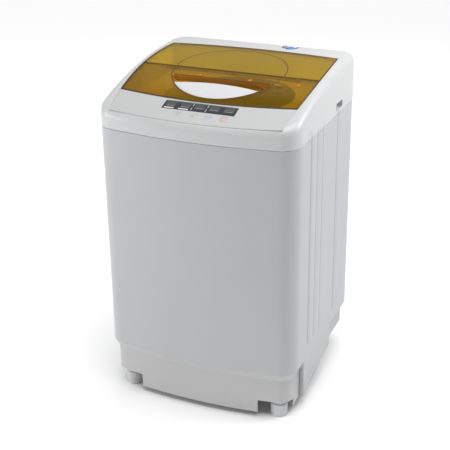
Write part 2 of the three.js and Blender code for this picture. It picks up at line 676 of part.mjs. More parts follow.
function drainOutlet() {
  const { outletX: x, outletZ: z, radius } = DRAIN;
  const pipe = rodAlongY(x, z, 203.5, REAR_Y - 0.5, radius);
  const flange = rodAlongY(x, z, 222, CABINET_REAR_Y - CABINET_WALL - GAP, radius + 5);
  return joined(pipe, flange).subtract(rodAlongY(x, z, 200, 240, radius - 3));
}

// ---- Drum and pulsator --------------------------------------------------------------------
const SHAFT_BORE = 7.6;

function drumWall() {
  const { radius, wall, floor, top } = DRUM;
  return tube(0, 0, floor + GAP, top - GAP, radius, radius - wall, ROUND_STEPS);
}

const drumBase = () => tube(0, 0, DRUM.bottom, DRUM.floor, DRUM.radius, SHAFT_BORE, ROUND_STEPS);

function balanceRing() {
  const { inner, outer, top } = BALANCE_RING;
  return tube(0, 0, DRUM.top, top, outer, inner, ROUND_STEPS);
}

function drumShaft() {
  const top = DRUM.bottom - GAP;
  const bore = SHAFT_BORE;
  return turned([[bore, 142], [14, 142], [14, 213], [40, 214], [40, top], [bore, top], [bore, 142]], 20);
}

function lintFilter() {
  const arc = (radius, from, to) =>
    Array.from({ length: 7 }, (_, i) => {
      const angle = THREE.MathUtils.degToRad(from + ((to - from) * i) / 6);
      return new THREE.Vector2(radius * Math.cos(angle), radius * Math.sin(angle));
    });
  const inner = DRUM.radius - DRUM.wall;
  return prism([...arc(inner - 1.8, -12, 12), ...arc(inner - 14, 12, -12)], 330, 450);
}

const FIN_COUNT = 6;
const FIN_WIDTH = 9;

function pulsator() {
  const { radius: r, bottom, hubTop } = PULSATOR;
  const profile = [
    [0, bottom], [r - 4, bottom], [r, bottom + 4], [r - 2, bottom + 10],
    [34, bottom + 12], [22, hubTop], [0, hubTop],
  ];
  const fin = [
    [18, bottom + 6], [r - 8, bottom + 6], [r - 12, bottom + 14],
    [60, bottom + 24], [18, hubTop - 2],
  ];
  const finShape = new THREE.Shape(fin.map(([x, z]) => new THREE.Vector2(x, z)));
  const finGeometry = new THREE.ExtrudeGeometry(finShape, { depth: FIN_WIDTH, bevelEnabled: false });
  const finBody = solid(finGeometry.translate(0, 0, -FIN_WIDTH / 2).rotateX(Math.PI / 2));
  const fins = Array.from({ length: FIN_COUNT }, (_, i) => finBody.rotate([0, 0, (360 / FIN_COUNT) * i]));
  return joined(turned(profile, 28), ...fins)
    .subtract(disc(0, 0, 200, 243.3, 7.3, 20))
    .subtract(disc(0, 0, hubTop - 4, hubTop + 5, 8, 20));
}

const pulsatorShaft = () => disc(0, 0, 144, 243, 7, 20);
const pulsatorScrew = () => disc(0, 0, PULSATOR.hubTop - 3.7, PULSATOR.hubTop, 7, 20);

// ---- Water, power and sensing parts on the cabinet ----------------------------------------
function inletFitting() {
  const thread = disc(INLET.x, INLET.y, INLET.floorZ + GAP, 785, 13.2, 20);
  const flange = disc(INLET.x, INLET.y, INLET.floorZ + GAP, INLET.floorZ + 2.5, 17, 20);
  const neck = disc(INLET.x, INLET.y, 750, INLET.floorZ + 1, 12, 20);
  return joined(thread, flange, neck).subtract(disc(INLET.x, INLET.y, 740, 800, INLET_BORE, 20));
}

function inletCap() {
  const plug = disc(INLET.x, INLET.y, 772, 786, CAP_PLUG_RADIUS, 20);
  return joined(plug, disc(INLET.x, INLET.y, 785 + GAP, 789.5, 10.6, 20));
}

function inletValve() {
  const body = box(INLET.x - 16, INLET.x + 16, 190, 222, 728, 749.7);
  const coil = rodAlongX(206, 738, INLET.x + 15, INLET.x + 48, 10, 20);
  const outlet = disc(INLET.x, 181, 722.4, 745, 7, 16);
  return joined(body, coil, outlet, box(INLET.x - 7, INLET.x + 7, 180, 191, 731, 745));
}

function waterSpout() {
  const duct = box(INLET.x - 13, INLET.x + 13, 126, 192, 700, 716);
  const riser = disc(INLET.x, 181, 710, 722, 9, 16);
  return joined(duct, riser)
    .subtract(box(INLET.x - 10, INLET.x + 10, 120, 189, 703, 713))
    .subtract(disc(INLET.x, 181, 705, 730, 6, 16));
}

const pressureSwitch = () => joined(disc(-90, 200, 735, 752, 24, 28), disc(-90, 200, 722, 736, 5, 16));
const lidSwitch = () => joined(box(-196, -164, 178, 194, 742, 762), box(-186, -174, 172, 179, 748, 754));
const motorCapacitor = () => disc(196, 186, SHELF.top + GAP, 176, 17, 24);

function powerGland() {
  const { x, z, radius, collarRadius } = GLAND;
  const collar = rodAlongY(x, z, 217, CABINET_REAR_Y, collarRadius);
  const nose = rodAlongY(x, z, 228, REAR_Y - GAP, radius);
  return joined(collar, nose).subtract(rodAlongY(x, z, 200, 240, 4));
}

// ---- The whole machine --------------------------------------------------------------------
const machine = new THREE.Group();
machine.name = "washing_machine";

function add(name, body, material) {
  const mesh = new THREE.Mesh(toGeometry(body), MATERIALS[material]());
  mesh.name = name;
  machine.add(mesh);
}

add("cabinet_shell", cabinetShell(), "bodyPaint");
add("back_panel", backPanel(), "bodyPaint");
add("base_frame", baseFrame(), "basePlastic");
FOOT_PLACES.forEach((place) => add(place.name, foot(place), "greyPlastic"));

add("top_cover", topCover(), "coverPlastic");
add("control_fascia", controlFascia(), "fasciaPlastic");
add("display_window", displayWindow(), "darkWindow");
const BUTTON_FINISHES = ["greyPlastic", "greyPlastic", "bluePlastic", "redPlastic"];
BUTTON_NAMES.forEach((name, i) => add(name, button(i), BUTTON_FINISHES[i]));
add("control_board", controlBoard(), "circuitGreen");

add("lid_rear_panel", lidRearPanel(), "amberPlastic");
add("lid_front_panel", lidFrontPanel(), "amberPlastic");
add("lid_grip", lidGrip(), "gripWhite");
add("lid_fold_pin", foldPin(), "zincSteel");
add("lid_hinge_pin_left", hingePin(-1), "zincSteel");
add("lid_hinge_pin_right", hingePin(1), "zincSteel");

add("inlet_fitting", inletFitting(), "whitePlastic");
add("inlet_cap", inletCap(), "bluePlastic");
add("inlet_valve", inletValve(), "whitePlastic");
add("water_spout", waterSpout(), "whitePlastic");
add("pressure_switch", pressureSwitch(), "whitePlastic");
add("lid_switch", lidSwitch(), "whitePlastic");
add("motor_capacitor", motorCapacitor(), "castAluminium");
add("power_gland", powerGland(), "rubber");
add("drain_outlet", drainOutlet(), "greyPlastic");

rodPlaces().forEach((place, i) => {
  add(`suspension_rod_${SUSPENSION_NAMES[i]}`, suspensionRod(place), "zincSteel");
  add(`suspension_spring_${SUSPENSION_NAMES[i]}`, suspensionSpring(place), "zincSteel");
});

add("outer_tub", outerTub(), "tubPlastic");
add("tub_ring", tubRing(), "tubPlastic");
add("tub_base_plate", tubBasePlate(), "zincSteel");
add("tub_seal", tubSeal(), "rubber");
add("gearbox", gearbox(), "castAluminium");
add("motor", motor(), "darkSteel");
add("drain_valve", drainValve(), "whitePlastic");
add("drain_actuator", drainActuator(), "whitePlastic");
add("drain_hose", drainHose(), "rubber");
add("drive_belt", driveBelt(), "rubber");
add("drive_pulley", pulley(0, DRIVE.pulleyRadius, 139), "castAluminium");
add("motor_pulley", pulley(DRIVE.motorX, DRIVE.motorPulleyRadius, 121.5), "castAluminium");

add("drum_wall", drumWall(), "stainless");
add("drum_base", drumBase(), "tubPlastic");
add("balance_ring", balanceRing(), "tubPlastic");
add("drum_shaft", drumShaft(), "zincSteel");
add("lint_filter", lintFilter(), "bluePlastic");
add("pulsator", pulsator(), "tubPlastic");
add("pulsator_shaft", pulsatorShaft(), "zincSteel");
add("pulsator_screw", pulsatorScrew(), "stainless");

export default machine;
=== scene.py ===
"""Looks of a top load washing machine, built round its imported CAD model.

The shapes are written in millimetres in the CAD frame: +Z up, the front faces -Y, the floor is z = 0.
build() turns them into metres. Every piece rides on the CAD body that it belongs to, apart from the drain
hose, which bends between two bodies.
"""

import json
import math

import bmesh
import bpy
from mathutils import Matrix, Vector


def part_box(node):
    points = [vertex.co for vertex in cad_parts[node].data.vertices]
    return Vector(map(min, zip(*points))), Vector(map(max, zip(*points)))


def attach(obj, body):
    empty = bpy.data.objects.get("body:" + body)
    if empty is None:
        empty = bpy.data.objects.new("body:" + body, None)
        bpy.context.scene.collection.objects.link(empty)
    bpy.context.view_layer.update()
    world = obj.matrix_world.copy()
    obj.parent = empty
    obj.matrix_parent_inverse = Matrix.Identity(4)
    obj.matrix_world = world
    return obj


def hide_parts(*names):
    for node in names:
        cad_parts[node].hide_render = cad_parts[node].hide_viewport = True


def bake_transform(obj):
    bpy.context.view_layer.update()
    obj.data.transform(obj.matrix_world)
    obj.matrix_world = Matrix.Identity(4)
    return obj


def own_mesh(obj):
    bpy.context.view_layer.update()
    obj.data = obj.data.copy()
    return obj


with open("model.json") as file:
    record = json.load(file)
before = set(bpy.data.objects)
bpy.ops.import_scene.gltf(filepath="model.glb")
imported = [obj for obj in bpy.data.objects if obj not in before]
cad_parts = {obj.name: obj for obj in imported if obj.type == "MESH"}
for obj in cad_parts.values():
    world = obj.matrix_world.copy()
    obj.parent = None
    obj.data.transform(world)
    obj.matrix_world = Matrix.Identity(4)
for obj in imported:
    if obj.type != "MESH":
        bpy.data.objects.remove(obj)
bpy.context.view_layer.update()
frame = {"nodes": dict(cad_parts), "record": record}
MM = 0.001

# ---- Driving sizes, in millimetres -------------------------------------------------------
WIDTH, HEIGHT, REAR_Y = 480.0, 790.0, 232.0
CORNER_FRONT_Y, CORNER_RADIUS, FRONT_BOW = -215.5, 45.0, 16.5
CROWN_Y, CROWN_RADIUS = 150.0, 1040.0
COVER_BOTTOM, COVER_FILLET = 681.0, 18.0
COVER_RINGS = (684.0, 686.5, 689.0, 691.0, 693.0, 695.0, 697.0, 699.0, 701.5)
LID_FLOOR, CONTROL_FLOOR, OPENING_RADIUS, LIP_BOTTOM = 722.0, 704.0, 152.0, 640.0
LID_FRONT, LID_FRONT_BOW, LID_REAR, LID_REAR_BOW = -131.0, 15.5, 149.0, 17.0
FASCIA_FRONT, FASCIA_FRONT_BOW, FASCIA_REAR = -206.0, 14.0, -134.5
LID_THICKNESS, FOLD_GAP = 4.0, 0.5
HINGE_Y, HINGE_Z = 143.0, 786.9
LID_RIBS = ((-61.0, -25.0), (62.0, -25.0), (180.0, -25.0))
RING_RADIUS, RING_Y = 134.0, 1.5
RING_SECTION = ((-1.1, -0.3), (-0.9, 0.2), (0.9, 0.2), (1.1, -0.3))
GRIP_TIP, GRIP_REAR = 103.0, -67.0
SCOOP_REAR = -46.0
POCKET_GAP = 0.8
WINDOW_X, WINDOW_FRONT, WINDOW_REAR = 87.0, -182.0, -152.5
BUTTON_NAMES = ("program", "level", "start", "power")
BUTTON_XS, BUTTON_Y = (-40.0, -4.0, 32.0, 68.0), -195.0
INLET_X, INLET_Y, INLET_FLOOR, INLET_RADIUS = 74.0, 207.0, 768.0, 21.0
CABINET_REAR, CABINET_BOTTOM, CABINET_TOP = 229.5, 127.8, 680.7
FLAP_FRONT, FLAP_REAR, FLAP_FOLD, FLAP_LOW = -133.0, 62.0, 10.3, (33.5, 72.5)
GROOVES = ((-109.5, 5.0, 2.4), (-69.0, 3.2, 1.1), (-27.5, 3.2, 1.1), (79.5, 4.6, 2.0))
GROOVE_BOTTOM, GROOVE_TOP = 159.0, 694.0
ARCH = ((-131.0, 682.0), (-131.0, 689.0), (-127.0, 695.0), (-120.0, 697.0), (-113.0, 694.0))
BASE_INSET, BASE_SHOULDER, SKIRT_SPLIT, NOTCH_X = 11.0, 108.0, 80.0, 153.0
GRIP_HOLE = (64.0, 110.0, 688.5, 706.0)
CORNERS = ("front_left", "front_right", "rear_left", "rear_right")
MOTOR_X, PULLEY_LOW, PULLEY_HIGH = -118.0, 84.0, 100.0
VALVE_X, VALVE_Y = -60.0, 115.0
DRAIN_PATH = ((-60, 150.6, 172), (-60, 162.4, 172), (-76, 178.4, 168), (-108, 184, 155), (-140, 186, 149))
DRAIN_PATH += ((-150, 194, 148), (-150, 203, 148))

# The camera, fitted to the photo's outline: degrees, metres and millimetres of focal length.
CAMERA_ANGLES, CAMERA_AIM, CAMERA_DISTANCE = (23.0, 24.0, -0.6), (0.0, 0.0082, 0.3978), 2.5814
CAMERA_LENS, CAMERA_SHIFT = 83.94, (-0.0164, -0.0107)
FLOOR_REACH = 40.0


# ---- Camera, light and floor -------------------------------------------------------------
def make_camera():
    azimuth, elevation, roll = (math.radians(a) for a in CAMERA_ANGLES)
    flat = math.cos(elevation)
    back = Vector((math.sin(azimuth) * flat, -math.cos(azimuth) * flat, math.sin(elevation)))
    level = Vector((math.cos(azimuth), math.sin(azimuth), 0.0))
    upright = back.cross(level)
    right = level * math.cos(roll) + upright * math.sin(roll)
    up = upright * math.cos(roll) - level * math.sin(roll)
    place = Matrix((right, up, back)).transposed().to_4x4()
    place.translation = Vector(CAMERA_AIM) + back * CAMERA_DISTANCE
    data = bpy.data.cameras.new("camera")
    data.lens, data.sensor_width = CAMERA_LENS, 36.0
    data.shift_x, data.shift_y = CAMERA_SHIFT
    camera = bpy.data.objects.new("camera", data)
    camera.matrix_world = place
    bpy.context.collection.objects.link(camera)
    bpy.context.scene.camera = camera


def light(name, kind, place, target, energy, **settings):
    data = bpy.data.lights.new(name, kind)
    data.energy = energy
    for key, value in settings.items():
        setattr(data, key, value)
    lamp = bpy.data.objects.new(name, data)
    lamp.location = place
    lamp.rotation_euler = (Vector(target) - Vector(place)).to_track_quat("-Z", "Y").to_euler()
    lamp.visible_camera = False
    bpy.context.collection.objects.link(lamp)


def make_stage():
    world = bpy.data.worlds.new("studio")
    world.use_nodes = True
    background = world.node_tree.nodes["Background"]
    background.inputs["Color"].default_value = (1.0, 1.0, 1.0, 1.0)
    background.inputs["Strength"].default_value = 0.24
    bpy.context.scene.world = world
    bpy.context.scene.view_settings.view_transform = "Standard"
    light("overhead_sun", "SUN", (0.3, -0.2, 3.0), (0.0, 0.0, 0.0), 2.5, angle=math.radians(50))
    light("right_window", "AREA", (0.95, 0.3, 1.35), (0.24, 0.0, 0.7), 8.0, size=0.6)
    light("left_window", "AREA", (-2.6, -1.7, 0.9), (-0.2, -0.2, 0.4), 40.0, size=1.4)
    light("rear_card", "AREA", (-1.0, 2.4, 2.0), (0.0, 0.1, 0.75), 7.0, size=2.0)
    corners = [(x * FLOOR_REACH, y * FLOOR_REACH, 0) for x, y in ((-1, -1), (1, -1), (1, 1), (-1, 1))]
    floor = new_object("floor", corners, [(0, 1, 2, 3)], 1.0)
    floor.location.z = -0.0004
    paper = surface("floor_paper", (0.95, 0.95, 0.95), 0.8, grain=400, depth=0.01, tint=0.003)
    floor.data.materials.append(paper)


# ---- Materials ---------------------------------------------------------------------------
def node(tree, kind, **settings):
    made = tree.nodes.new(kind)
    for key, value in settings.items():
        if key in made.inputs.keys():
            made.inputs[key].default_value = value
        else:
            setattr(made, key, value)
    return made


def noise(tree, scale, detail=3.0, stretch=(1, 1, 1), roughness=0.55):
    place = node(tree, "ShaderNodeTexCoord")
    mapping = node(tree, "ShaderNodeMapping")
    mapping.inputs["Scale"].default_value = stretch
    texture = node(tree, "ShaderNodeTexNoise", Scale=scale, Detail=detail, Roughness=roughness)
    tree.links.new(place.outputs["Object"], mapping.inputs["Vector"])
    tree.links.new(mapping.outputs["Vector"], texture.inputs["Vector"])
    return texture.outputs["Fac"]


def spread(tree, source, low, high):
    """Maps a noise value from its whole span to low .. high, so that no patch of it is cut off flat."""
    made = node(tree, "ShaderNodeMapRange", clamp=False)
    made.inputs["From Min"].default_value = 0.2
    made.inputs["From Max"].default_value = 0.8
    made.inputs["To Min"].default_value = low
    made.inputs["To Max"].default_value = high
    tree.links.new(source, made.inputs["Value"])
    return made.outputs["Result"]


def blended(tree, amount, first, second):
    mix = node(tree, "ShaderNodeMix", data_type="RGBA")
    mix.inputs[6].default_value = (*first, 1)
    mix.inputs[7].default_value = (*second, 1)
    tree.links.new(amount, mix.inputs[0])
    return mix.outputs[2]


def surface(name, color, rough, grain=700, depth=0.05, blotch=9, tint=0.05, stretch=(1, 1, 1), **settings):
    """A material with cloudy colour and roughness, and a fine grain as bump."""
    made = bpy.data.materials.new(name)
    made.use_nodes = True
    tree = made.node_tree
    shader = tree.nodes["Principled BSDF"]
    for key, value in settings.items():
        shader.inputs[key.replace("_", " ")].default_value = value
    clouds = spread(tree, noise(tree, blotch, 4.0, stretch), 0.0, 1.0)
    darker = tuple(c * (1 - tint) for c in color)
    lighter = tuple(min(c * (1 + tint), 1.0) for c in color)
    tree.links.new(blended(tree, clouds, darker, lighter), shader.inputs["Base Color"])
    smudge = spread(tree, noise(tree, blotch * 3.1, 5.0, stretch), rough * 0.88, min(rough * 1.14, 1.0))
    tree.links.new(smudge, shader.inputs["Roughness"])
    bump = node(tree, "ShaderNodeBump", Strength=depth, Distance=0.0006)
    tree.links.new(noise(tree, grain, 2.0, stretch), bump.inputs["Height"])
    tree.links.new(bump.outputs["Normal"], shader.inputs["Normal"])
    return made


def see_through(name, tint, body, share, rough):
    """Tinted clear plastic: part of the light passes with the tint, the rest meets a glossy body colour."""
    coat = {"Coat_Weight": 0.6, "Coat_Roughness": 0.04}
    made = surface(name, body, rough, grain=40, depth=0.02, tint=0.12, blotch=7, **coat)
    tree = made.node_tree
    shader = tree.nodes["Principled BSDF"]
    clear = node(tree, "ShaderNodeBsdfTransparent")
    clear.inputs["Color"].default_value = (*tint, 1)
    mix = node(tree, "ShaderNodeMixShader", Fac=share)
    tree.links.new(shader.outputs["BSDF"], mix.inputs[1])
    tree.links.new(clear.outputs["BSDF"], mix.inputs[2])
    tree.links.new(mix.outputs["Shader"], tree.nodes["Material Output"].inputs["Surface"])
    return made


def make_materials():
    """Every finish by name: colour, roughness, then what differs from surface()'s usual settings."""
    steel = {"Metallic": 1.0}
    solid = {
        "cabinet_paint": ((0.43, 0.438, 0.449), 0.36, dict(grain=420, depth=0.06, tint=0.018)),
        "cover_plastic": ((0.525, 0.53, 0.535), 0.3, dict(grain=900, depth=0.04, tint=0.012)),
        "base_plastic": ((0.47, 0.47, 0.475), 0.5, dict(grain=1100, depth=0.16, tint=0.03)),
        "fascia_plastic": ((0.475, 0.482, 0.482), 0.42, dict(grain=1500, depth=0.08, tint=0.02)),
        "amber_rib": ((0.85, 0.5, 0.02), 0.3, dict(grain=300, Coat_Weight=0.4)),
        # A near-black amber painted as shade: the dark lines at the lid's edges, along its round line and at
        # the scoop's step.
        "amber_edge": ((0.075, 0.035, 0.004), 0.45, dict(grain=300)),
        "grip_white": ((0.6, 0.605, 0.61), 0.34, dict(grain=1000, tint=0.012)),
        "display_dark": ((0.035, 0.037, 0.042), 0.12, dict(grain=300, depth=0.01, Coat_Weight=0.5)),
        "display_cell": ((0.075, 0.078, 0.085), 0.25, dict(grain=900, depth=0.04)),
        "print_white": ((0.72, 0.74, 0.76), 0.45, {}),
        "print_grey": ((0.28, 0.28, 0.27), 0.5, {}),
        "print_blue": ((0.22, 0.42, 0.62), 0.5, {}),
        "print_red": ((0.62, 0.2, 0.2), 0.5, {}),
        "blue_plastic": ((0.05, 0.24, 0.72), 0.35, dict(grain=900, tint=0.08)),
        "red_plastic": ((0.475, 0.482, 0.482), 0.42, dict(grain=1500, depth=0.08, tint=0.02)),
        "grey_plastic": ((0.64, 0.645, 0.655), 0.5, dict(grain=1000, depth=0.15, tint=0.06)),
        "white_plastic": ((0.74, 0.74, 0.72), 0.42, dict(grain=900, depth=0.08, tint=0.03)),
        "tub_plastic": ((0.7, 0.7, 0.67), 0.48, dict(grain=800, depth=0.12, tint=0.03)),
        "stainless": ((0.62, 0.62, 0.63), 0.26, dict(grain=500, depth=0.1, stretch=(1, 1, 0.05), **steel)),
        "zinc_steel": ((0.5, 0.51, 0.52), 0.38, dict(grain=300, depth=0.12, blotch=40, tint=0.16, **steel)),
        "dark_steel": ((0.035, 0.035, 0.038), 0.45, dict(grain=500, depth=0.2, tint=0.2)),
        "cast_aluminium": ((0.52, 0.53, 0.54), 0.5, dict(grain=600, depth=0.4, tint=0.1, **steel)),
        "rubber": ((0.022, 0.022, 0.022), 0.72, dict(depth=0.25, tint=0.2)),
        "circuit_board": ((0.03, 0.16, 0.06), 0.35, dict(grain=200, depth=0.1, blotch=60, tint=0.3)),
        # Near black, used as painted shade in the back panel's vent slots.
        "dark_gap": ((0.02, 0.02, 0.02), 0.8, {}),
    }
    clear = {
        # The lid plastic of the rear half, the lugs and the knuckles, paler than the front half's as a
        # painted sky reflection.
        "amber_lid": ((0.98, 0.87, 0.30), (0.72, 0.50, 0.04), 0.82, 0.12),
        # The front half: a darker copy of the same plastic, as painted shade.
        "amber_front_shaded": ((0.92, 0.74, 0.08), (0.29, 0.19, 0.003), 0.80, 0.12),
        # A darker, more opaque copy of the lid plastic, painted as shade on the step at the back of the
        # finger hollow.
        "amber_scoop_shaded": ((0.85, 0.45, 0.06), (0.36, 0.15, 0.006), 0.40, 0.1),
    }
    made = {name: surface(name, color, rough, **rest) for name, (color, rough, rest) in solid.items()}
    return made | {name: see_through(name, *values) for name, values in clear.items()}


def new_object(name, points, faces, unit=MM):
    """A mesh object from points in millimetres, or in another unit."""
    data = bpy.data.meshes.new(name)
    data.from_pydata([Vector(p) * unit for p in points], [], faces)
    made = bpy.data.objects.new(name, data)
    bpy.context.collection.objects.link(made)
    return made


# ---- Mesh tools --------------------------------------------------------------------------
def build(name, points, faces, finish, body, replaces=(), extra=(), face_slots=None, sharp=32, thick=0.0):
    """Makes one piece in millimetres, gives it its finish and lets it ride on its body, if it has one."""
    made = new_object(name, points, faces)
    for slot_name in (finish, *extra):
        made.data.materials.append(MATERIALS[slot_name])
    if face_slots:
        made.data.polygons.foreach_set("material_index", face_slots)
    tidy(made)
    if thick:
        apply(made, "SOLIDIFY", thickness=thick * MM, offset=-1.0)
    smooth(made, sharp)
    if body:
        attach(made, body)
    if replaces:
        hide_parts(*replaces)
    return made


def tidy(made):
    """Joins points that coincide and turns all faces outwards, away from the machine's middle."""
    mesh = bmesh.new()
    mesh.from_mesh(made.data)
    bmesh.ops.remove_doubles(mesh, verts=mesh.verts, dist=2e-6)
    bmesh.ops.recalc_face_normals(mesh, faces=mesh.faces)
    if mesh.calc_volume(signed=True) < 0:
        bmesh.ops.reverse_faces(mesh, faces=mesh.faces)
    mesh.to_mesh(made.data)
    mesh.free()


def smooth(made, sharp):
    made.data.shade_smooth()
    made.data.set_sharp_from_angle(angle=math.radians(sharp))


def apply(made, kind, **settings):
    """Adds one modifier and writes its result into the mesh."""
    modifier = made.modifiers.new(kind.lower(), kind)
    for key, value in settings.items():
        setattr(modifier, key, value)
    bpy.context.view_layer.update()
    result = bpy.data.meshes.new_from_object(made.evaluated_get(bpy.context.evaluated_depsgraph_get()))
    made.modifiers.clear()
    made.data = result


def cut(made, points, faces):
    """Takes the solid with these faces away from a piece."""
    tool = new_object("cutter", points, faces)
    tidy(tool)
    apply(made, "BOOLEAN", operation="DIFFERENCE", solver="EXACT", object=tool)
    bpy.data.objects.remove(tool)


def rings(loops, closed=True, caps=(False, False)):
    """Points and faces of a surface through loops of equal length."""
    count = len(loops[0])
    points = [p for loop in loops for p in loop]
    faces = []
    for k in range(len(loops) - 1):
        for i in range(count if closed else count - 1):
            j = (i + 1) % count
            a = k * count
            faces.append((a + i, a + j, a + count + j, a + count + i))
    if caps[0]:
        faces.append(tuple(reversed(range(count))))
    if caps[1]:
        last = (len(loops) - 1) * count
        faces.append(tuple(last + i for i in range(count)))
    return points, faces


def merged(*parts):
    """Several (points, faces) lists as one."""
    points, faces = [], []
    for some_points, some_faces in parts:
        shift = len(points)
        points += some_points
        faces += [tuple(i + shift for i in face) for face in some_faces]
    return points, faces


def raised(outline, low, high):
    """A solid with this outline from above, between two heights."""
    return rings([[(x, y, z) for x, y in outline] for z in (low, high)], caps=(True, True))


def filleted(path, steps=4):
    """A 2D path of (a, b, radius) points with its corners rounded; a missing radius is sharp."""
    out = []
    for i, entry in enumerate(path):
        here = Vector(entry[:2])
        radius = entry[2] if len(entry) > 2 else 0.0
        if not radius or i in (0, len(path) - 1):
            out.append(tuple(here))
            continue
        before = (Vector(path[i - 1][:2]) - here).normalized()
        after = (Vector(path[i + 1][:2]) - here).normalized()
        half = before.angle(after) / 2
        reach = radius / math.tan(half)
        for k in range(steps + 1):
            t = k / steps
            a = here + before * reach * (1 - t)
            b = here + after * reach * t
            out.append(tuple(a.lerp(b, t)))
    return out


def full_turn(count):
    """Angles all the way round, in equal steps."""
    return [2 * math.pi * k / count for k in range(count)]


def polar(radius, angle, x=0.0, y=0.0):
    return x + radius * math.cos(angle), y + radius * math.sin(angle)


def turned(path, x=0.0, y=0.0, segments=96):
    """Turns a path of (radius, z, corner radius) points about a vertical axis."""
    loops = []
    for radius, z in filleted(path):
        loops.append([(*polar(max(radius, 0.01), a, x, y), z) for a in full_turn(segments)])
    return rings(loops, caps=(path[0][0] < 0.02, path[-1][0] < 0.02))


def laid(shape, axis, place):
    """Lays a shape turned about Z along X or Y, with its z = 0 at a place."""
    points, faces = shape
    swap = {"x": lambda p: (p[2], p[0], p[1]), "y": lambda p: (p[0], p[2], p[1])}[axis]
    moved = [tuple(a + b for a, b in zip(swap(p), place)) for p in points]
    return moved, faces


def spun(shape, angle, x=0.0, y=0.0):
    """Turns a shape about Z, then moves it."""
    points, faces = shape
    across, along = math.cos(angle), math.sin(angle)
    return [(x + px * across - py * along, y + px * along + py * across, z) for px, py, z in points], faces


def block(x0, x1, y0, y1, z0, z1, radius=1.0, steps=3):
    """A box whose edges are rounded."""
    mesh = bmesh.new()
    bmesh.ops.create_cube(mesh, size=1.0)
    for v in mesh.verts:
        v.co = Vector((x0 if v.co.x < 0 else x1, y0 if v.co.y < 0 else y1, z0 if v.co.z < 0 else z1))
    if radius:
        bmesh.ops.bevel(mesh, geom=mesh.edges[:], offset=radius, segments=steps, profile=0.5, affect="EDGES")
    mesh.verts.ensure_lookup_table()
    points = [tuple(v.co) for v in mesh.verts]
    faces = [tuple(v.index for v in face.verts) for face in mesh.faces]
    mesh.free()
    return points, faces


def swept(path, radius, sides=12, caps=(True, True)):
    """A round tube along a path of points; its radius is one number, or a list of one for each point."""
    places = [Vector(p) for p in path]
    radii = radius if isinstance(radius, list) else [radius] * len(places)
    loops = []
    across = None
    for i, (here, reach) in enumerate(zip(places, radii)):
        ahead = (places[min(i + 1, len(places) - 1)] - places[max(i - 1, 0)]).normalized()
        if across is None:
            across = ahead.orthogonal().normalized()
        across = (across - ahead * across.dot(ahead)).normalized()
        other = ahead.cross(across)
        ring = [across * math.cos(a) + other * math.sin(a) for a in full_turn(sides)]
        loops.append([tuple(here + out * reach) for out in ring])
    return rings(loops, caps=caps)


def curve_through(places, steps=8):
    """A smooth path through places."""
    out = []
    line = [Vector(p) for p in places]
    line = [line[0] * 2 - line[1], *line, line[-1] * 2 - line[-2]]
    for i in range(1, len(line) - 2):
        a, b, c, d = line[i - 1 : i + 3]
        bend = 2 * a - 5 * b + 4 * c - d
        twist = 3 * b - a - 3 * c + d
        for k in range(steps):
            t = k / steps
            out.append(0.5 * (2 * b + (c - a) * t + bend * t**2 + twist * t**3))
    return [*out, line[-2]]


def node_box(name):
    """Two corners of a CAD node's box, in millimetres."""
    return [tuple(v / MM for v in corner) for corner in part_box(name)]


def node_middle(name):
    lo, hi = node_box(name)
    return (lo[0] + hi[0]) / 2, (lo[1] + hi[1]) / 2


# ---- Outlines shared by the pieces -------------------------------------------------------
def steps_between(low, high, count):
    return [low + (high - low) * i / count for i in range(count + 1)]


def ease(t):
    t = min(max(t, 0.0), 1.0)
    return t * t * (3 - 2 * t)


def side_stations(rear):
    """Y values along a side, closer together where a groove, the arch or the flap needs them."""
    low, high = CORNER_FRONT_Y + CORNER_RADIUS, rear - CORNER_RADIUS
    values = {round(v, 3) for v in steps_between(low, high, 14)}
    for middle, half, _ in GROOVES:
        values = {v for v in values if abs(v - middle) > half * 1.2}
        values |= {round(middle + half * k / 4, 3) for k in range(-4, 5)}
    values |= {round(v, 3) for v in steps_between(-142.0, -115.5, 13)} | {FLAP_FRONT, FLAP_REAR}
    return sorted(v for v in values if low < v < high)


def body_outline(inset=0.0, rear=REAR_Y):
    """The body from above, pulled in by inset, starting at the middle of the front."""
    radius = CORNER_RADIUS - inset
    cx, front_y, rear_y = WIDTH / 2 - CORNER_RADIUS, CORNER_FRONT_Y + CORNER_RADIUS, rear - CORNER_RADIUS
    middle = CORNER_FRONT_Y - FRONT_BOW + inset
    lean = 0.0
    for _ in range(8):
        lean = math.atan2(2 * (front_y - radius * math.cos(lean) - middle), cx + radius * math.sin(lean))
    end_x, end_y = cx + radius * math.sin(lean), front_y - radius * math.cos(lean)
    xs = steps_between(0.0, end_x, 16) + [NOTCH_X]
    half = [(x, middle + (end_y - middle) * (x / end_x) ** 2) for x in sorted(xs)]
    turns = steps_between(lean - math.pi / 2, 0.0, 10)[1:]
    half += [(cx + radius * math.cos(a), front_y + radius * math.sin(a)) for a in turns]
    half += [(cx + radius, y) for y in side_stations(rear)]
    turns = steps_between(0.0, math.pi / 2, 10)
    half += [(cx + radius * math.cos(a), rear_y + radius * math.sin(a)) for a in turns]
    half += [(x, rear - inset) for x in steps_between(cx, 0.0, 8)[1:]]
    return half + [(-x, y) for x, y in reversed(half[1:-1])]


def top_height(y):
    forward = max(CROWN_Y - y, 0.0)
    return HEIGHT - (CROWN_RADIUS - math.sqrt(CROWN_RADIUS**2 - forward**2))


def rim_fall(inset):
    """How far the rounded rim of the cover lies below its top, at a distance in from the outside."""
    left = max(COVER_FILLET - inset, 0.0)
    return COVER_FILLET - math.sqrt(COVER_FILLET**2 - left**2)


def front_share(y):
    """1 at the front, 0 at the sides and the back: the seam under the cover is open only at the front."""
    return ease((-178.0 - y) / 36.0)


def lid_half(y):
    return 220.5 - 3.5e-4 * (y - 10.0) ** 2


def barrel_point(across, y, bow, grow=0.0):
    """A point on a bowed cross line; across runs from -1 to 1, bow is how far the middle stands out."""
    return (across * (lid_half(y) + grow), y + bow * (1 - across**2))


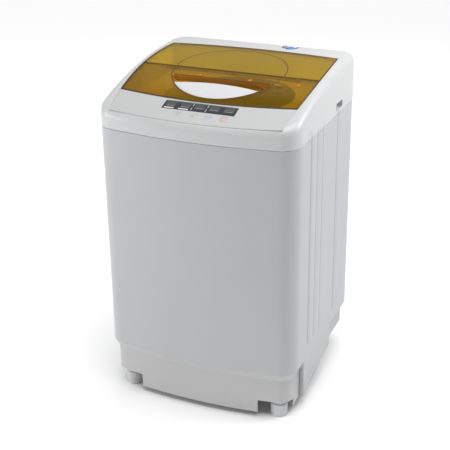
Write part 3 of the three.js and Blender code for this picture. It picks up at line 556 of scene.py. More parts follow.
def barrel_outline(front, front_bow, rear, rear_bow, grow=0.0, cross=20, along=14):
    sides = steps_between(-1.0, 1.0, cross)
    lower = [barrel_point(t, front - grow, -front_bow, grow) for t in sides]
    right = [barrel_point(1.0, y, 0.0, grow) for y in steps_between(front - grow, rear + grow, along)[1:-1]]
    upper = [barrel_point(-t, rear + grow, rear_bow, grow) for t in sides]
    left = [(-x, y) for x, y in reversed(right)]
    return lower + right + upper + left


def ray_hit(outline, angle):
    """How far from the origin a ray at this angle meets a closed outline."""
    dx, dy = math.cos(angle), math.sin(angle)
    best = None
    for i, (ax, ay) in enumerate(outline):
        bx, by = outline[(i + 1) % len(outline)]
        side_a, side_b = ax * dy - ay * dx, bx * dy - by * dx
        if side_a * side_b > 0 or side_a == side_b:
            continue
        t = side_a / (side_a - side_b)
        reach = (ax + (bx - ax) * t) * dx + (ay + (by - ay) * t) * dy
        if reach > 0 and (best is None or reach > best):
            best = reach
    return best


def groove_depth(x, y, z):
    """How far the side wall is pressed in at a place, for the grooves and the small arch."""
    if abs(x) < WIDTH / 2 - 1.5:
        return 0.0
    depth = 0.0
    for middle, half, deepest in GROOVES:
        apart = abs(y - middle) / half
        if apart < 1:
            ends = ease((z - GROOVE_BOTTOM) / 7.0) * ease((GROOVE_TOP - z) / 9.0)
            depth = max(depth, deepest * 0.5 * (1 + math.cos(math.pi * apart)) * ends)
    here = Vector((y, z))
    for a, b in zip(ARCH, ARCH[1:]):
        start, line = Vector(a), Vector(b) - Vector(a)
        t = min(max((here - start).dot(line) / line.length_squared, 0.0), 1.0)
        apart = (here - start - line * t).length / 4.0
        if apart < 1 and z > CABINET_TOP:
            depth = max(depth, 1.5 * 0.5 * (1 + math.cos(math.pi * apart)))
    return depth


def pressed(x, y, z):
    inward = groove_depth(x, y, z)
    return (x - math.copysign(inward, x), y, z) if inward else (x, y, z)


def panel(front, rear, top, thickness, across, along, edge=1.0, half=lid_half, dip=None, rims=(True, True)):
    """A slab of the crowned top between two bowed lines; front and rear give Y for across = -1 .. 1.

    It returns points, faces and for each face how near it is to the slab's edge. The front or the rear
    edge is left out of that where rims says so.
    """
    reach = half(0.0)
    rim = [0.0, 0.25, 0.7, 1.0, 2.6]
    inner = steps_between(-reach + 4.2, reach - 4.2, across)
    cols = [-reach + r * edge for r in rim] + inner + [reach - r * edge for r in reversed(rim)]
    length = rear(0.0) - front(0.0)
    inner = steps_between(4.2, length - 4.2, along)
    rows = [r * edge for r in rim] + inner + [length - r * edge for r in reversed(rim)]

    def drop(value):
        near = min(value, edge)
        return edge - math.sqrt(max(edge**2 - (edge - near) ** 2, 0.0))

    upper, lower = [], []
    for r in rows:
        for c in cols:
            t, s = c / reach, r / length
            y = front(t) + (rear(t) - front(t)) * s
            x = t * half(y)
            near = min(drop(reach - abs(c)) + drop(r) + drop(length - r), edge)
            sunk = dip(x, y) if dip else 0.0
            upper.append((x, y, top(y) - near - sunk))
            lower.append((x, y, top(y) - thickness - sunk))
    wide, tall = len(cols), len(rows)
    faces, margins = [], []
    for j in range(tall - 1):
        for i in range(wide - 1):
            a = j * wide + i
            b = a + wide * tall
            gap = min(i, wide - 2 - i, j if rims[0] else wide, tall - 2 - j if rims[1] else wide)
            faces += [(a, a + 1, a + wide + 1, a + wide), (b + wide, b + wide + 1, b + 1, b)]
            margins += [gap, gap]
    border = [j for j in range(wide)] + [wide * k + wide - 1 for k in range(1, tall)]
    border += [wide * tall - 2 - j for j in range(wide - 1)] + [wide * k for k in range(tall - 2, 0, -1)]
    for k, a in enumerate(border):
        b = border[(k + 1) % len(border)]
        faces.append((b, a, a + wide * tall, b + wide * tall))
        margins.append(0)
    return upper + lower, faces, margins


# ---- Top cover ---------------------------------------------------------------------------
def pocket_outline():
    """The edge of the lid pocket and the control pocket together, starting at the front left corner."""
    return barrel_outline(FASCIA_FRONT, FASCIA_FRONT_BOW, LID_REAR, LID_REAR_BOW, POCKET_GAP, along=22)


def cover_rays():
    """Angles for the rays of the cover: through the pocket's corners and through the outer outline."""
    corners = [(lid_half(y) + POCKET_GAP, y) for y in (FASCIA_FRONT - POCKET_GAP, LID_REAR + POCKET_GAP)]
    kept = [math.atan2(y, side * x) for x, y in corners for side in (-1, 1)]
    for x, y in body_outline():
        angle = math.atan2(y, x)
        if all(abs(angle - other) > 2.5e-3 for other in kept):
            kept.append(angle)
    return sorted(kept)


def cover_ray(angle, outlines, insets, pocket):
    """One column of the cover, from its lower inner edge over the rim to the pocket floor."""
    reaches = [ray_hit(outline, angle) for outline in outlines]
    dx, dy = math.cos(angle), math.sin(angle)
    edge = ray_hit(pocket, angle)
    stop = COVER_FILLET
    for k in range(len(insets) - 1):
        if reaches[k + 1] < edge + 1.2:
            share = (reaches[k] - edge - 1.2) / (reaches[k] - reaches[k + 1])
            stop = insets[k] + (insets[k + 1] - insets[k]) * share
            break

    def reach_at(inset):
        k = min(int(inset / (insets[1] - insets[0])), len(insets) - 2)
        share = (inset - insets[k]) / (insets[k + 1] - insets[k])
        return reaches[k] + (reaches[k + 1] - reaches[k]) * share

    outer = reaches[0]
    seam = 0.12 + 0.9 * front_share(outer * dy)
    shoulder = top_height(outer * dy) - COVER_FILLET
    low, high = COVER_RINGS[0], COVER_RINGS[-1]
    squeeze = min((shoulder - 1.0 - low) / (high - low), 1.0)
    below = low + (high - low) * squeeze
    column = [(outer - seam, COVER_BOTTOM), (outer - seam * 0.3, COVER_BOTTOM + seam * 0.3)]
    column += [(outer, COVER_BOTTOM + seam)] + [(outer, low + (z - low) * squeeze) for z in COVER_RINGS]
    column += [(outer, below + (shoulder - below) * t) for t in (0.5, 1.0)]
    for share in (0.02, 0.06, 0.13, 0.22, 0.33, 0.46, 0.6, 0.8, 1.0):
        reach = reach_at(stop * share)
        column.append((reach, top_height(reach * dy) - rim_fall(stop * share)))
    rim = column[-1][0]
    for share in (0.33, 0.67, 1.0):
        reach = rim + (edge + 1.1 - rim) * share
        column.append((reach, top_height(reach * dy) - rim_fall(stop)))
    z = column[-1][1]
    floor = LID_FLOOR if edge * dy > LID_FRONT - 2.0 else CONTROL_FLOOR
    column += [(edge + out, z - drop) for out, drop in ((0.75, 0.06), (0.3, 0.3), (0.05, 0.8), (0.0, 1.5))]
    return [pressed(r * dx, r * dy, z) for r, z in [*column, (edge, floor)]]


def top_cover():
    insets = [3.0 * k for k in range(7)]
    outlines = [body_outline(inset) for inset in insets]
    pocket = pocket_outline()
    columns = [cover_ray(angle, outlines, insets, pocket) for angle in cover_rays()]
    shell = rings([*columns, columns[0]], closed=False)
    made = build("TopCover_shell", *shell, "cover_plastic", "cabinet", ["top_cover"], sharp=40, thick=2.4)
    bottom = INLET_FLOOR + 2
    cut(made, *turned([(0, bottom), (INLET_RADIUS, bottom), (INLET_RADIUS, 800), (0, 800)], INLET_X, INLET_Y))
    for side in (-1, 1):
        cut(made, *block(side * 232 - 12, side * 232 + 12, *GRIP_HOLE, 3.0, 4))
    smooth(made, 40)
    lid_pocket_floor()
    control_pocket()
    inlet_cup()
    for side in (-1, 1):
        hand_grip(side)


def lid_pocket_floor():
    """The floor of the lid pocket, with the round opening and its lip."""
    outline = barrel_outline(LID_FRONT, LID_FRONT_BOW, LID_REAR, LID_REAR_BOW, 1.15)
    inner = OPENING_RADIUS
    loops = []
    path = [(inner + 3.0, LID_FLOOR), (inner + 1.4, LID_FLOOR - 0.2), (inner + 0.4, LID_FLOOR - 1.2)]
    path += [(inner, LID_FLOOR - 3), (inner, LIP_BOTTOM + 1), (inner + 0.6, LIP_BOTTOM)]
    path += [(inner + 2.4, LIP_BOTTOM), (inner + 3, LIP_BOTTOM + 1), (inner + 3, LID_FLOOR - 3)]
    for a in sorted(math.atan2(y, x) for x, y in outline):
        edge = max(ray_hit(outline, a), inner + 4.5)
        spoke = [(edge, LID_FLOOR - 3), (edge, LID_FLOOR)]
        spoke += [(inner + 3.0 + (edge - inner - 3.0) * t, LID_FLOOR) for t in (0.75, 0.5, 0.25)]
        loops.append([(*polar(r, a), z) for r, z in spoke + path])
    loops.append(loops[0])
    build("TopCover_lid_pocket", *rings(loops, closed=True), "cover_plastic", "cabinet", sharp=40)


def control_pocket():
    """The wall between the lid and the fascia, and the tray that holds the control board."""
    back, front = LID_FRONT - 1.25, FASCIA_REAR + 0.55
    loops = []
    for t in steps_between(-1.0, 1.0, 40):
        bow = -LID_FRONT_BOW * (1 - t * t)
        x = t * (lid_half(LID_FRONT) + 1.2)
        z = top_height(back + bow)
        shape = [(front, CONTROL_FLOOR), (front, z - 1.9), (front + 0.5, z - 1.4)]
        shape += [(back - 0.5, z - 1.4), (back, z - 1.9), (back, CONTROL_FLOOR)]
        loops.append([(x, y + bow, h) for y, h in shape])
    wall = rings(loops, caps=(True, True))
    outline = barrel_outline(FASCIA_FRONT, FASCIA_FRONT_BOW, FASCIA_REAR, -LID_FRONT_BOW, 0.3)
    tray = raised(outline, CONTROL_FLOOR - 2.5, CONTROL_FLOOR)
    build("TopCover_control_tray", *merged(wall, tray), "cover_plastic", "cabinet")


def inlet_cup():
    """The round well in the rear deck that the water fitting stands in."""
    r, z = INLET_RADIUS, INLET_FLOOR
    path = [(13.2, z - 2.4), (13.2, z), (r - 3, z, 0), (r, z + 3), (r, 786), (r + 2.2, 781)]
    path += [(r + 2.2, z - 2.4, 2), (13.2, z - 2.4)]
    points, faces = turned(path, INLET_X, INLET_Y, 64)
    below_deck = [(x, y, min(z, HEIGHT - rim_fall(max(REAR_Y - y, 0.0)) - 0.6)) for x, y, z in points]
    build("TopCover_inlet_well", below_deck, faces, "cover_plastic", "cabinet")


def hand_grip(side):
    """The hollow in the side of the cover for the fingers."""
    y0, y1, z0, z1 = GRIP_HOLE
    loops = []
    for x, grow in ((239.2, 0.4), (236, 0.2), (226, 0), (223.5, -1.2), (222.8, -4)):
        corner = 3.2
        ring = []
        for cy, cz, start in ((y1, z1, 0), (y0, z1, 1), (y0, z0, 2), (y1, z0, 3)):
            oy = cy - math.copysign(corner - grow, cy - (y0 + y1) / 2)
            oz = cz - math.copysign(corner - grow, cz - (z0 + z1) / 2)
            for k in range(5):
                ring.append((side * x, *polar(corner, (start + k / 4) * math.pi / 2, oy, oz)))
        loops.append(ring)
    name = "TopCover_hand_grip_right" if side > 0 else "TopCover_hand_grip_left"
    build(name, *rings(loops, caps=(False, True)), "cover_plastic", "cabinet", thick=1.2)


# ---- Lid ---------------------------------------------------------------------------------
def scoop_dip(x, y):
    """How deep the finger hollow is: inside the ring, and before a straight step behind the grip."""
    inside = RING_RADIUS - 1.5 - math.hypot(x, y - RING_Y)
    return 9.0 * ease(inside / 5.0) * ease((SCOOP_REAR - y) / 3.0)


def lid_panel(half, finish, front, rear, rims, dip=None):
    """One half of the lid; its outer edges get a painted dark line as shade, and the step behind the finger
    hollow a painted shade.
    """
    points, faces, margins = panel(front, rear, top_height, LID_THICKNESS, 110, 80, dip=dip, rims=rims)
    slots = []
    for face, gap in zip(faces, margins):
        heights = [points[i][2] - top_height(points[i][1]) for i in face]
        step = len(set(face)) == 4 and max(heights) - min(heights) > 1.2 and gap > 3
        # Slot 2 paints shade on the step's faces, slot 1 a dark shade line along the outer edges, slot 0 is
        # the plain plastic.
        slots.append(2 if step else 1 if gap < 4 else 0)
    looks = {"extra": ("amber_edge", "amber_scoop_shaded"), "face_slots": slots, "sharp": 50}
    node_name = f"lid_{half}_panel"
    made = build(f"Lid_{half}_panel", points, faces, finish, f"lid_{half}", [node_name], **looks)
    return made


def grip_curves():
    ring = RING_RADIUS - 2.0
    tip_y = RING_Y - math.sqrt(ring**2 - GRIP_TIP**2)
    bend = (GRIP_REAR - tip_y) / GRIP_TIP**2
    return (lambda x: RING_Y - math.sqrt(ring**2 - x * x)), (lambda x: GRIP_REAR - bend * x * x)


def lid():
    def rear_edge(t):
        return LID_REAR + LID_REAR_BOW * (1 - t * t)

    def front_edge(t):
        return LID_FRONT - LID_FRONT_BOW * (1 - t * t)

    lid_panel("rear", "amber_lid", lambda t: FOLD_GAP, rear_edge, (False, True))
    front_panel = lid_panel("front", "amber_front_shaded", front_edge, lambda t: -FOLD_GAP, (True, False), scoop_dip)
    front, rear = grip_curves()
    rim = [(x, front(x) - 0.3) for x in steps_between(-GRIP_TIP, GRIP_TIP, 48)]
    rim += [(x, rear(x) + 0.5) for x in steps_between(GRIP_TIP, -GRIP_TIP, 48)]
    cut(front_panel, *raised(rim, 700.0, 800.0))
    smooth(front_panel, 50)
    lid_grip(front, rear)
    ring_line("Lid_ring_line_rear", "lid_rear", FOLD_GAP, 200.0)
    ring_line("Lid_ring_line_front", "lid_front", -200.0, -FOLD_GAP)
    lid_hinges()
    lid_ribs()


def lid_grip(front, rear):
    """The white crescent that the fingers pull, in cross sections of share of its width and drop."""
    section = ((0, 3.2), (0, 1.4), (0.012, 0.5), (0.04, 0.05), (0.15, -0.35), (0.4, -0.7))
    section += ((0.7, -0.5), (0.93, 0.1), (0.985, 0.5), (1, 1.4), (1, 9.5))
    loops = []
    for x in steps_between(-GRIP_TIP + 0.2, GRIP_TIP - 0.2, 64):
        low, high = front(x), rear(x)
        width = high - low
        loop = [(x, y, top_height(y) - 0.3 - drop) for y, drop in ((low + width * s, d) for s, d in section)]
        y = high - 2.2 * min(width / 10, 1)
        loop += [(x, y, top_height(y) - 9.8), (x, low + width * 0.3, top_height(low) - 5.0)]
        loops.append(loop)
    crescent = rings(loops, caps=(True, True))
    build("Lid_grip_crescent", *crescent, "grip_white", "lid_front", ["lid_grip"], sharp=45)


def ring_line(name, body, low, high):
    """The part of the lid's round line between two Y values, as a fine line on the surface painted dark as
    shade.
    """
    runs = [[]]
    for a in steps_between(math.pi / 2, 2.5 * math.pi, 240):
        if low <= RING_Y + RING_RADIUS * math.sin(a) <= high:
            places = [(*polar(RING_RADIUS + out, a, 0.0, RING_Y), lift) for out, lift in RING_SECTION]
            runs[-1].append([(x, y, top_height(y) + lift) for x, y, lift in places])
        elif runs[-1]:
            runs.append([])
    strips = [rings(run, caps=(True, True)) for run in runs if len(run) > 2]
    build(name, *merged(*strips), "amber_edge", body)


def lid_ribs():
    """Short moulded ribs on the underside of the front half, and a thin dark rod along the scoop's step,
    painted as shade.
    """
    ribs = []
    for x, y in LID_RIBS:
        z = top_height(y)
        ribs.append(block(x - 3.4, x + 3.4, y - 9, y + 9, z - 8.0, z - 4.2, 0.6))
    build("Lid_ribs", *merged(*ribs), "amber_rib", "lid_front")
    # The rod along the top of the step is painted dark as shade.
    reach = math.sqrt((RING_RADIUS - 7.0) ** 2 - (SCOOP_REAR - RING_Y) ** 2)
    z = top_height(SCOOP_REAR) + 0.05
    step_shade_line = swept([(x, SCOOP_REAR + 0.6, z) for x in steps_between(-reach, reach, 24)], 0.7, 8)
    build("Lid_scoop_crease", *step_shade_line, "amber_edge", "lid_front")


def sleeve(radius, length, place):
    """A short tube along X that a hinge pin runs in."""
    path = [(1.8, 0), (radius, 0, 0.5), (radius, length, 0.5), (1.8, length), (1.8, 0)]
    return laid(turned(path, segments=24), "x", place)


def lid_hinges():
    """The lugs at the rear hinge, and knuckles round the fold pin."""
    for side, x in (("left", -205.0), ("right", 193.0)):
        lug = sleeve(3.0, 12, (x, HINGE_Y, HINGE_Z))
        build(f"Lid_hinge_lug_{side}", *lug, "amber_lid", "lid_rear")
    for k, x in enumerate((-150.0, 0.0, 150.0)):
        for half, x0, near, far in (("rear", x - 12, 1.87, 6.8), ("front", x + 12.5, -6.8, -1.87)):
            x1 = x0 + (24 if half == "rear" else 12)
            arm = block(x0 + 0.4, x1 - 0.4, near, far, 770.4, 776.6, 0.6)
            shape = merged(sleeve(3.4, x1 - x0, (x0, 0.0, 770.8)), arm)
            build(f"Lid_knuckle_{half}_{150 * k}", *shape, "amber_lid", f"lid_{half}")


# ---- Controls ----------------------------------------------------------------------------
def on_fascia(x, y, lift=0.0):
    return (x, y, top_height(y) - 1.0 + lift)


def on_button(x, y, lift=0.0):
    return (x, y, top_height(y) - 0.62 + lift)


def decal(name, outline, finish, lift=0.12, thickness=0.3, body="cabinet", base=on_fascia):
    """A thin printed or inlaid shape that follows the surface that base gives."""
    lower = [base(x, y, lift - thickness) for x, y in outline]
    upper = [base(x, y, lift) for x, y in outline]
    return build(name, *rings([lower, upper], caps=(True, True)), finish, body)


def ring_outline(x, y, outer, inner, start=0.0, end=2 * math.pi, steps=28):
    turn = steps_between(start, end, steps)
    return [polar(outer, a, x, y) for a in turn] + [polar(inner, a, x, y) for a in reversed(turn)]


def box_outline(x0, x1, y0, y1):
    return [(x0, y0), (x1, y0), (x1, y1), (x0, y1)]


def fascia():
    points, faces, _ = panel(
        lambda t: FASCIA_FRONT - 0.6 - FASCIA_FRONT_BOW * (1 - t * t),
        lambda t: FASCIA_REAR - LID_FRONT_BOW * (1 - t * t),
        lambda y: top_height(y) - 1.0, 3.0, across=60, along=14, edge=0.4, half=lambda y: lid_half(y) + 0.6,
    )
    plate = build("Fascia_plate", points, faces, "fascia_plastic", "cabinet", ["control_fascia"], sharp=50)
    cut(plate, *block(-WINDOW_X - 0.2, WINDOW_X + 0.2, WINDOW_FRONT - 0.2, WINDOW_REAR + 0.2, 700, 800, 0))
    for x in BUTTON_XS:
        cut(plate, *turned([(0, 700), (7.72, 700), (7.72, 800), (0, 800)], x, BUTTON_Y, 48))
    smooth(plate, 50)


def display():
    """The dark window, with five blank cells, two lit bars and two dividers."""
    front = [(WINDOW_FRONT, 3.6), (WINDOW_FRONT, 1.3), (WINDOW_FRONT + 0.4, 0.95)]
    middle = [(y, 0.95) for y in steps_between(WINDOW_FRONT + 4, WINDOW_REAR - 4, 4)]
    rear = [(WINDOW_REAR - 0.4, 0.95), (WINDOW_REAR, 1.3), (WINDOW_REAR, 3.6)]
    section = [(y, top_height(y) - drop) for y, drop in front + middle + rear]
    loops = [[(x, y, z) for y, z in section] for x in steps_between(-WINDOW_X, WINDOW_X, 24)]
    glass = rings(loops, caps=(True, True))
    build("Display_window", *glass, "display_dark", "cabinet", ["display_window"], sharp=50)
    pitch = 2 * WINDOW_X / 5
    for k in range(5):
        x0 = -WINDOW_X + pitch * k + 5.5
        shape = box_outline(x0, x0 + pitch - 11, WINDOW_FRONT + 8.5, WINDOW_REAR - 5.5)
        decal(f"Display_cell_{k + 1}", shape, "display_cell", 0.09)
        lit = box_outline(x0 + 3, x0 + pitch - 14, WINDOW_FRONT + 11, WINDOW_FRONT + 12.2)
        decal(f"Display_scale_{k + 1}", lit, "print_grey", 0.13)
        if k < 2:
            bar = box_outline(x0 - 1, x0 + pitch - 12, WINDOW_FRONT + 2.6, WINDOW_FRONT + 5.6)
            decal(f"Display_bar_{k + 1}", bar, "print_white", 0.12)
    for k in (0, 1):
        x = -WINDOW_X + (2 + k) * pitch
        divider = box_outline(x - 0.5, x + 0.5, WINDOW_FRONT + 3, WINDOW_REAR - 3)
        decal(f"Display_divider_{k + 1}", divider, "print_white", 0.12)


def buttons():
    section = ((2.5, 14.0), (2.5, 6.0), (7.5, 5.6), (7.5, 1.5))
    section += ((7.2, 0.95), (6.6, 0.72), (4.0, 0.62), (0.01, 0.6))
    finishes = ("grey_plastic", "grey_plastic", "blue_plastic", "red_plastic")
    for name, x, finish in zip(BUTTON_NAMES, BUTTON_XS, finishes):
        loops = []
        for radius, drop in section:
            ring = [polar(radius, a, x, BUTTON_Y) for a in full_turn(48)]
            loops.append([(px, py, top_height(py) - drop) for px, py in ring])
        node = f"button_{name}"
        shape = rings(loops, caps=(True, True))
        made = build(f"Button_{name}", *shape, "fascia_plastic", node, [node], sharp=40)
    button_marks()
    rim = ring_outline(BUTTON_XS[3], BUTTON_Y, 9.6, 8.7, 0, 2 * math.pi - 0.001, 40)
    decal("Mark_power_rim", rim, "print_red", 0.08)


def button_marks():
    """Generic pictograms: an arrow loop, level bars, play and pause, and a power sign."""
    y = BUTTON_Y
    first, second, third, fourth = BUTTON_XS
    arrow = [(first + 1.2, y - 1.6), (first + 6.0, y - 1.2), (first + 3.6, y + 1.9)]
    play = [(third - 5, y - 3.8), (third + 1, y), (third - 5, y + 3.8)]
    marks = (
        ("program", "print_grey", ring_outline(first, y, 4.3, 3.2, 0.3, 5.2)),
        ("program", "print_grey", arrow),
        ("level", "print_grey", box_outline(second - 4, second + 4, y - 3.4, y - 2.2)),
        ("level", "print_grey", box_outline(second - 3, second + 3, y - 0.8, y + 0.4)),
        ("level", "print_grey", box_outline(second - 2, second + 2, y + 1.8, y + 3.0)),
        ("start", "print_blue", play),
        ("start", "print_blue", box_outline(third + 2, third + 3.4, y - 3.6, y + 3.6)),
        ("start", "print_blue", box_outline(third + 4.6, third + 6, y - 3.6, y + 3.6)),
        ("power", "print_red", ring_outline(fourth, y, 4.6, 3.5, 2.0, 7.4)),
        ("power", "print_red", box_outline(fourth - 0.6, fourth + 0.6, y - 0.4, y + 5.0)),
    )
    for k, (name, finish, outline) in enumerate(marks):
        decal(f"Mark_{name}_{k}", outline, finish, 0.1, 0.25, f"button_{name}", on_button)


# ---- Cabinet and base --------------------------------------------------------------------
def cabinet():
    """The painted wrap with its pressed grooves, drawn in slightly at its top where the seam is open."""
    outline = body_outline(0.0, CABINET_REAR)
    heights = [CABINET_BOTTOM, 129.5, 145.0, 156.0, 159.0, 161.0, 163.0, 165.0, 167.0, 172.0]
    heights += steps_between(180.0, 672.0, 10) + [679.0, CABINET_TOP - 0.9, CABINET_TOP]
    loops = []
    for z in heights:
        ring = []
        for x, y in outline:
            seam = (0.1 + 0.9 * front_share(y)) if z == CABINET_TOP else 0.0
            kept = 1 - seam / math.hypot(x, y)
            px, py, _ = pressed(x, y, z)
            ring.append((px * kept, py * kept, z))
        loops.append(ring)
    parts = [rings(loops)]
    stations = [y for x, y in outline if x > 239 and FLAP_FRONT < y <= FLAP_REAR]
    parts += [flap(side, stations) for side in (-1, 1)]
    wrap = merged(*parts)
    build("Cabinet_shell", *wrap, "cabinet_paint", "cabinet", ["cabinet_shell"], sharp=38, thick=1.6)
    back_panel()


def flap(side, stations):
    """The side panel's lower end, which hangs over the base and is folded in along its front and bottom."""
    columns = [(FLAP_FOLD, FLAP_FRONT + 0.3), (1.0, FLAP_FRONT), (0.3, FLAP_FRONT + 0.3)]
    columns += [(0.0, y) for y in [FLAP_FRONT + 1.2, *sorted(stations)]]
    low_front, low_rear = FLAP_LOW
    loops = []
    for inward, y in columns:
        share = min(max(y - FLAP_FRONT, 0.0) / (FLAP_REAR - 6 - FLAP_FRONT), 1.0)
        low = low_front + (low_rear - low_front) * share
        steps = [(FLAP_FOLD, 0.3), (max(inward, 1.0), 0.0), (max(inward, 0.3), 0.3), (inward, 1.2)]
        column = [(side * (WIDTH / 2 - back), y, low + rise) for back, rise in steps]
        column += [(side * (WIDTH / 2 - inward), y, low + (CABINET_BOTTOM - low) * t) for t in (0.5, 1.0)]
        loops.append(column)
    return rings(loops, closed=False)


def back_panel():
    """The service panel on the back: pressed ribs, vent slots painted as dark shade, and its screws."""
    lo, hi = node_box("back_panel")
    x0, x1, z0, z1, back = lo[0] + 0.5, hi[0] - 0.5, lo[2], hi[2], hi[1]

    def relief(x, z):
        edge = min(x - x0, x1 - x, z - z0, z1 - z)
        wave = 0.5 + 0.5 * math.cos(2 * math.pi * (z - z0) / 80.0)
        return 0.9 * ease((edge - 34.0) / 12.0) * wave**3 - ease((edge - 12.0) / 5.0)

    xs, zs = steps_between(x0, x1, 72), steps_between(z0, z1, 96)
    sheet = rings([[(x, back - 0.1 + relief(x, z) * 0.9, z) for x in xs] for z in zs], closed=False)
    build("Back_panel_sheet", *sheet, "cabinet_paint", "cabinet", ["back_panel"], thick=0.8, sharp=60)
    head = turned([(0.0, 2.2), (2.2, 2.2), (4.2, 1.1, 0.4), (4.4, 0.0), (0, 0)], segments=24)
    middle = (z0 + z1) / 2
    places = [(x, z) for x in (x0 + 7, 0.0, x1 - 7) for z in (z0 + 7, middle, z1 - 7)]
    places.remove((0.0, middle))
    screws = [laid(head, "y", (x, back - 2.0, z)) for x, z in places]
    build("Back_panel_screws", *merged(*screws), "zinc_steel", "cabinet")
    # The vent slots are thin near-black blocks on the sheet: painted shade where the openings would be.
    vent_shades = [block(x, x + 4, back - 1.2, back - 0.3, z1 - 86, z1 - 62, 0.4) for x in range(-60, 61, 10)]
    build("Back_panel_vent_shades", *merged(*vent_shades), "dark_gap", "cabinet")


def base_skirt():
    """The plastic skirt: a shoulder, foot recesses at the front and a rising edge to the rear."""
    outline = body_outline(BASE_INSET, CABINET_REAR)
    upper = body_outline(0.6, CABINET_REAR)
    loops = [[(x, y, z) for x, y in outline] for z in (SKIRT_SPLIT, 100.0, BASE_SHOULDER - 2.5)]
    shoulder = ((0.02, BASE_SHOULDER - 0.8), (0.08, BASE_SHOULDER + 0.8), (0.3, 112.5))
    for share, z in (*shoulder, (0.62, 119.5), (0.88, 125.0), (1.0, 127.4)):
        pairs = zip(outline, upper)
        loops.append([(x + (ux - x) * share, y + (uy - y) * share, z) for (x, y), (ux, uy) in pairs])

    def lower_edge(y):
        return 27.0 + 43.0 * (y + 166.0) / 223.0 if y < 57 else 70.0 + 2.0 * (y - 57.0) / 183.0

    def strip(side, low, high, bottom=None):
        rows = []
        for x, y in right[low : high + 1]:
            z = lower_edge(y) if bottom is None else bottom
            rows.append([(side * x, y, z + (SKIRT_SPLIT - z) * t) for t in (0.0, 0.03, 0.35, 1.0)])
        return rings(rows, closed=False)

    right = outline[: len(outline) // 2 + 1]
    notch = max(i for i, (x, y) in enumerate(right) if y < -150 and x <= NOTCH_X + 0.01)
    corner = max(i for i, (x, y) in enumerate(right) if y <= -163)
    parts = [rings(loops)]
    for side in (-1, 1):
        parts += [strip(side, 0, notch, 14.0), strip(side, notch, corner, 47.0)]
        parts.append(strip(side, corner, len(right)))
    build("Base_skirt", *merged(*parts), "base_plastic", "cabinet", ["base_frame"], sharp=40, thick=2.6)


def base():
    """The skirt, and behind it the shelf with the round opening and the foot towers with their fins."""
    base_skirt()
    spokes = []
    for x, y in body_outline(BASE_INSET + 2.5, CABINET_REAR):
        a = math.atan2(y, x)
        hole, inner = polar(172.0, a), polar(169.0, a)
        middle = ((x + hole[0]) / 2, (y + hole[1]) / 2)
        spoke = [(x, y, 104.0), (x, y, 108.0), (*middle, 108.0), (*hole, 108.0), (*hole, 96.0)]
        spokes.append(spoke + [(*inner, 96.0), (*inner, 104.0), (*middle, 104.0)])
    spokes.append(spokes[0])
    pads = []
    fin = block(21.5, 44.0, -1.2, 1.2, 72.0, 105.0, 0.4)
    for name in CORNERS:
        x, y = node_middle(f"foot_{name}")
        tower = [(7.0, 36.4), (21.4, 36.4, 1), (22.6, 60), (23.4, 106), (7.0, 106), (7.0, 36.4)]
        pads.append(turned(tower, x, y, 48))
        first = math.pi / 8 + (0 if "front" in name else math.pi / 4)
        placed = [spun(fin, first + k * math.pi / 2, x, y) for k in range(4)]
        pads += [one for one in placed if all(abs(p[0]) < 224 and abs(p[1]) < 210 for p in one[0])]
    build("Base_shelf", *merged(rings(spokes), *pads), "base_plastic", "cabinet", sharp=40)



def feet():
    """Turned feet with fine vertical ribs for the fingers, a pad and a threaded stud."""
    section = ((19.2, 0.0, 0), (20.0, 0.5, 0), (20.3, 2.0, 0), (20.3, 5.0, 0), (20.4, 6.5, 0.9))
    section += ((20.4, 29.0, 0.9), (20.2, 31.0, 0), (19.4, 32.2, 0), (12.0, 34.6, 0), (7.0, 35.4, 0))
    for name in CORNERS:
        x, y = node_middle(f"foot_{name}")
        loops = []
        for radius, z, rib in section:
            waves = [(a, rib * (0.5 + 0.5 * math.cos(36 * a)) ** 1.5) for a in full_turn(288)]
            loops.append([(*polar(radius - wave, a, x, y), z) for a, wave in waves])
        pad = turned([(0, 0.0), (14, 0.0), (15, 0.6), (15, 1), (0, 1)], x, y, 48)
        thread = [(4.4 - 0.5 * (k % 2), 35.0 + k * 0.75) for k in range(31)]
        stud = turned([(0, 34), (4.4, 34), *thread, (3.4, 58.0), (0, 58.0)], x, y, 24)
        foot, node = merged(rings(loops, caps=(True, True)), pad, stud), f"foot_{name}"
        build(f"Foot_{name}", *foot, "grey_plastic", node, [node], sharp=45)


# ---- Water inlet -------------------------------------------------------------------------
def inlet():
    """The threaded fitting in the deck, and the blue cap with its pull tab."""
    z0 = INLET_FLOOR + 0.2
    path = [(9, 750), (12, 750), (12, z0), (17, z0, 0), (17, z0 + 2, 0.6), (12.6, z0 + 2.6)]
    for k in range(6):
        z = 772.0 + k * 1.9
        path += [(12.4, z), (13.2, z + 0.65), (13.2, z + 0.95), (12.4, z + 1.5)]
    path += [(12.4, 784.2), (11.8, 785), (9.2, 785), (9, 784.6), (9, 750)]
    thread = turned(path, INLET_X, INLET_Y, 64)
    build("Inlet_thread", *thread, "white_plastic", "cabinet", ["inlet_fitting"], sharp=40)
    path = [(0, 772), (7.9, 772, 0.8), (8.6, 776, 0.4), (8.6, 785.15, 0.3), (10.6, 785.2, 0.4)]
    path += [(10.6, 788.4, 1.1), (9.0, 789.3), (0, 789.5)]
    tab = spun(block(-9.5, 9.5, -1.3, 1.3, 788.2, 789.5, 0.5), math.radians(35), INLET_X, INLET_Y)
    cap = merged(turned(path, INLET_X, INLET_Y, 64), tab)
    build("Inlet_cap", *cap, "blue_plastic", "inlet_cap", ["inlet_cap"], sharp=40)


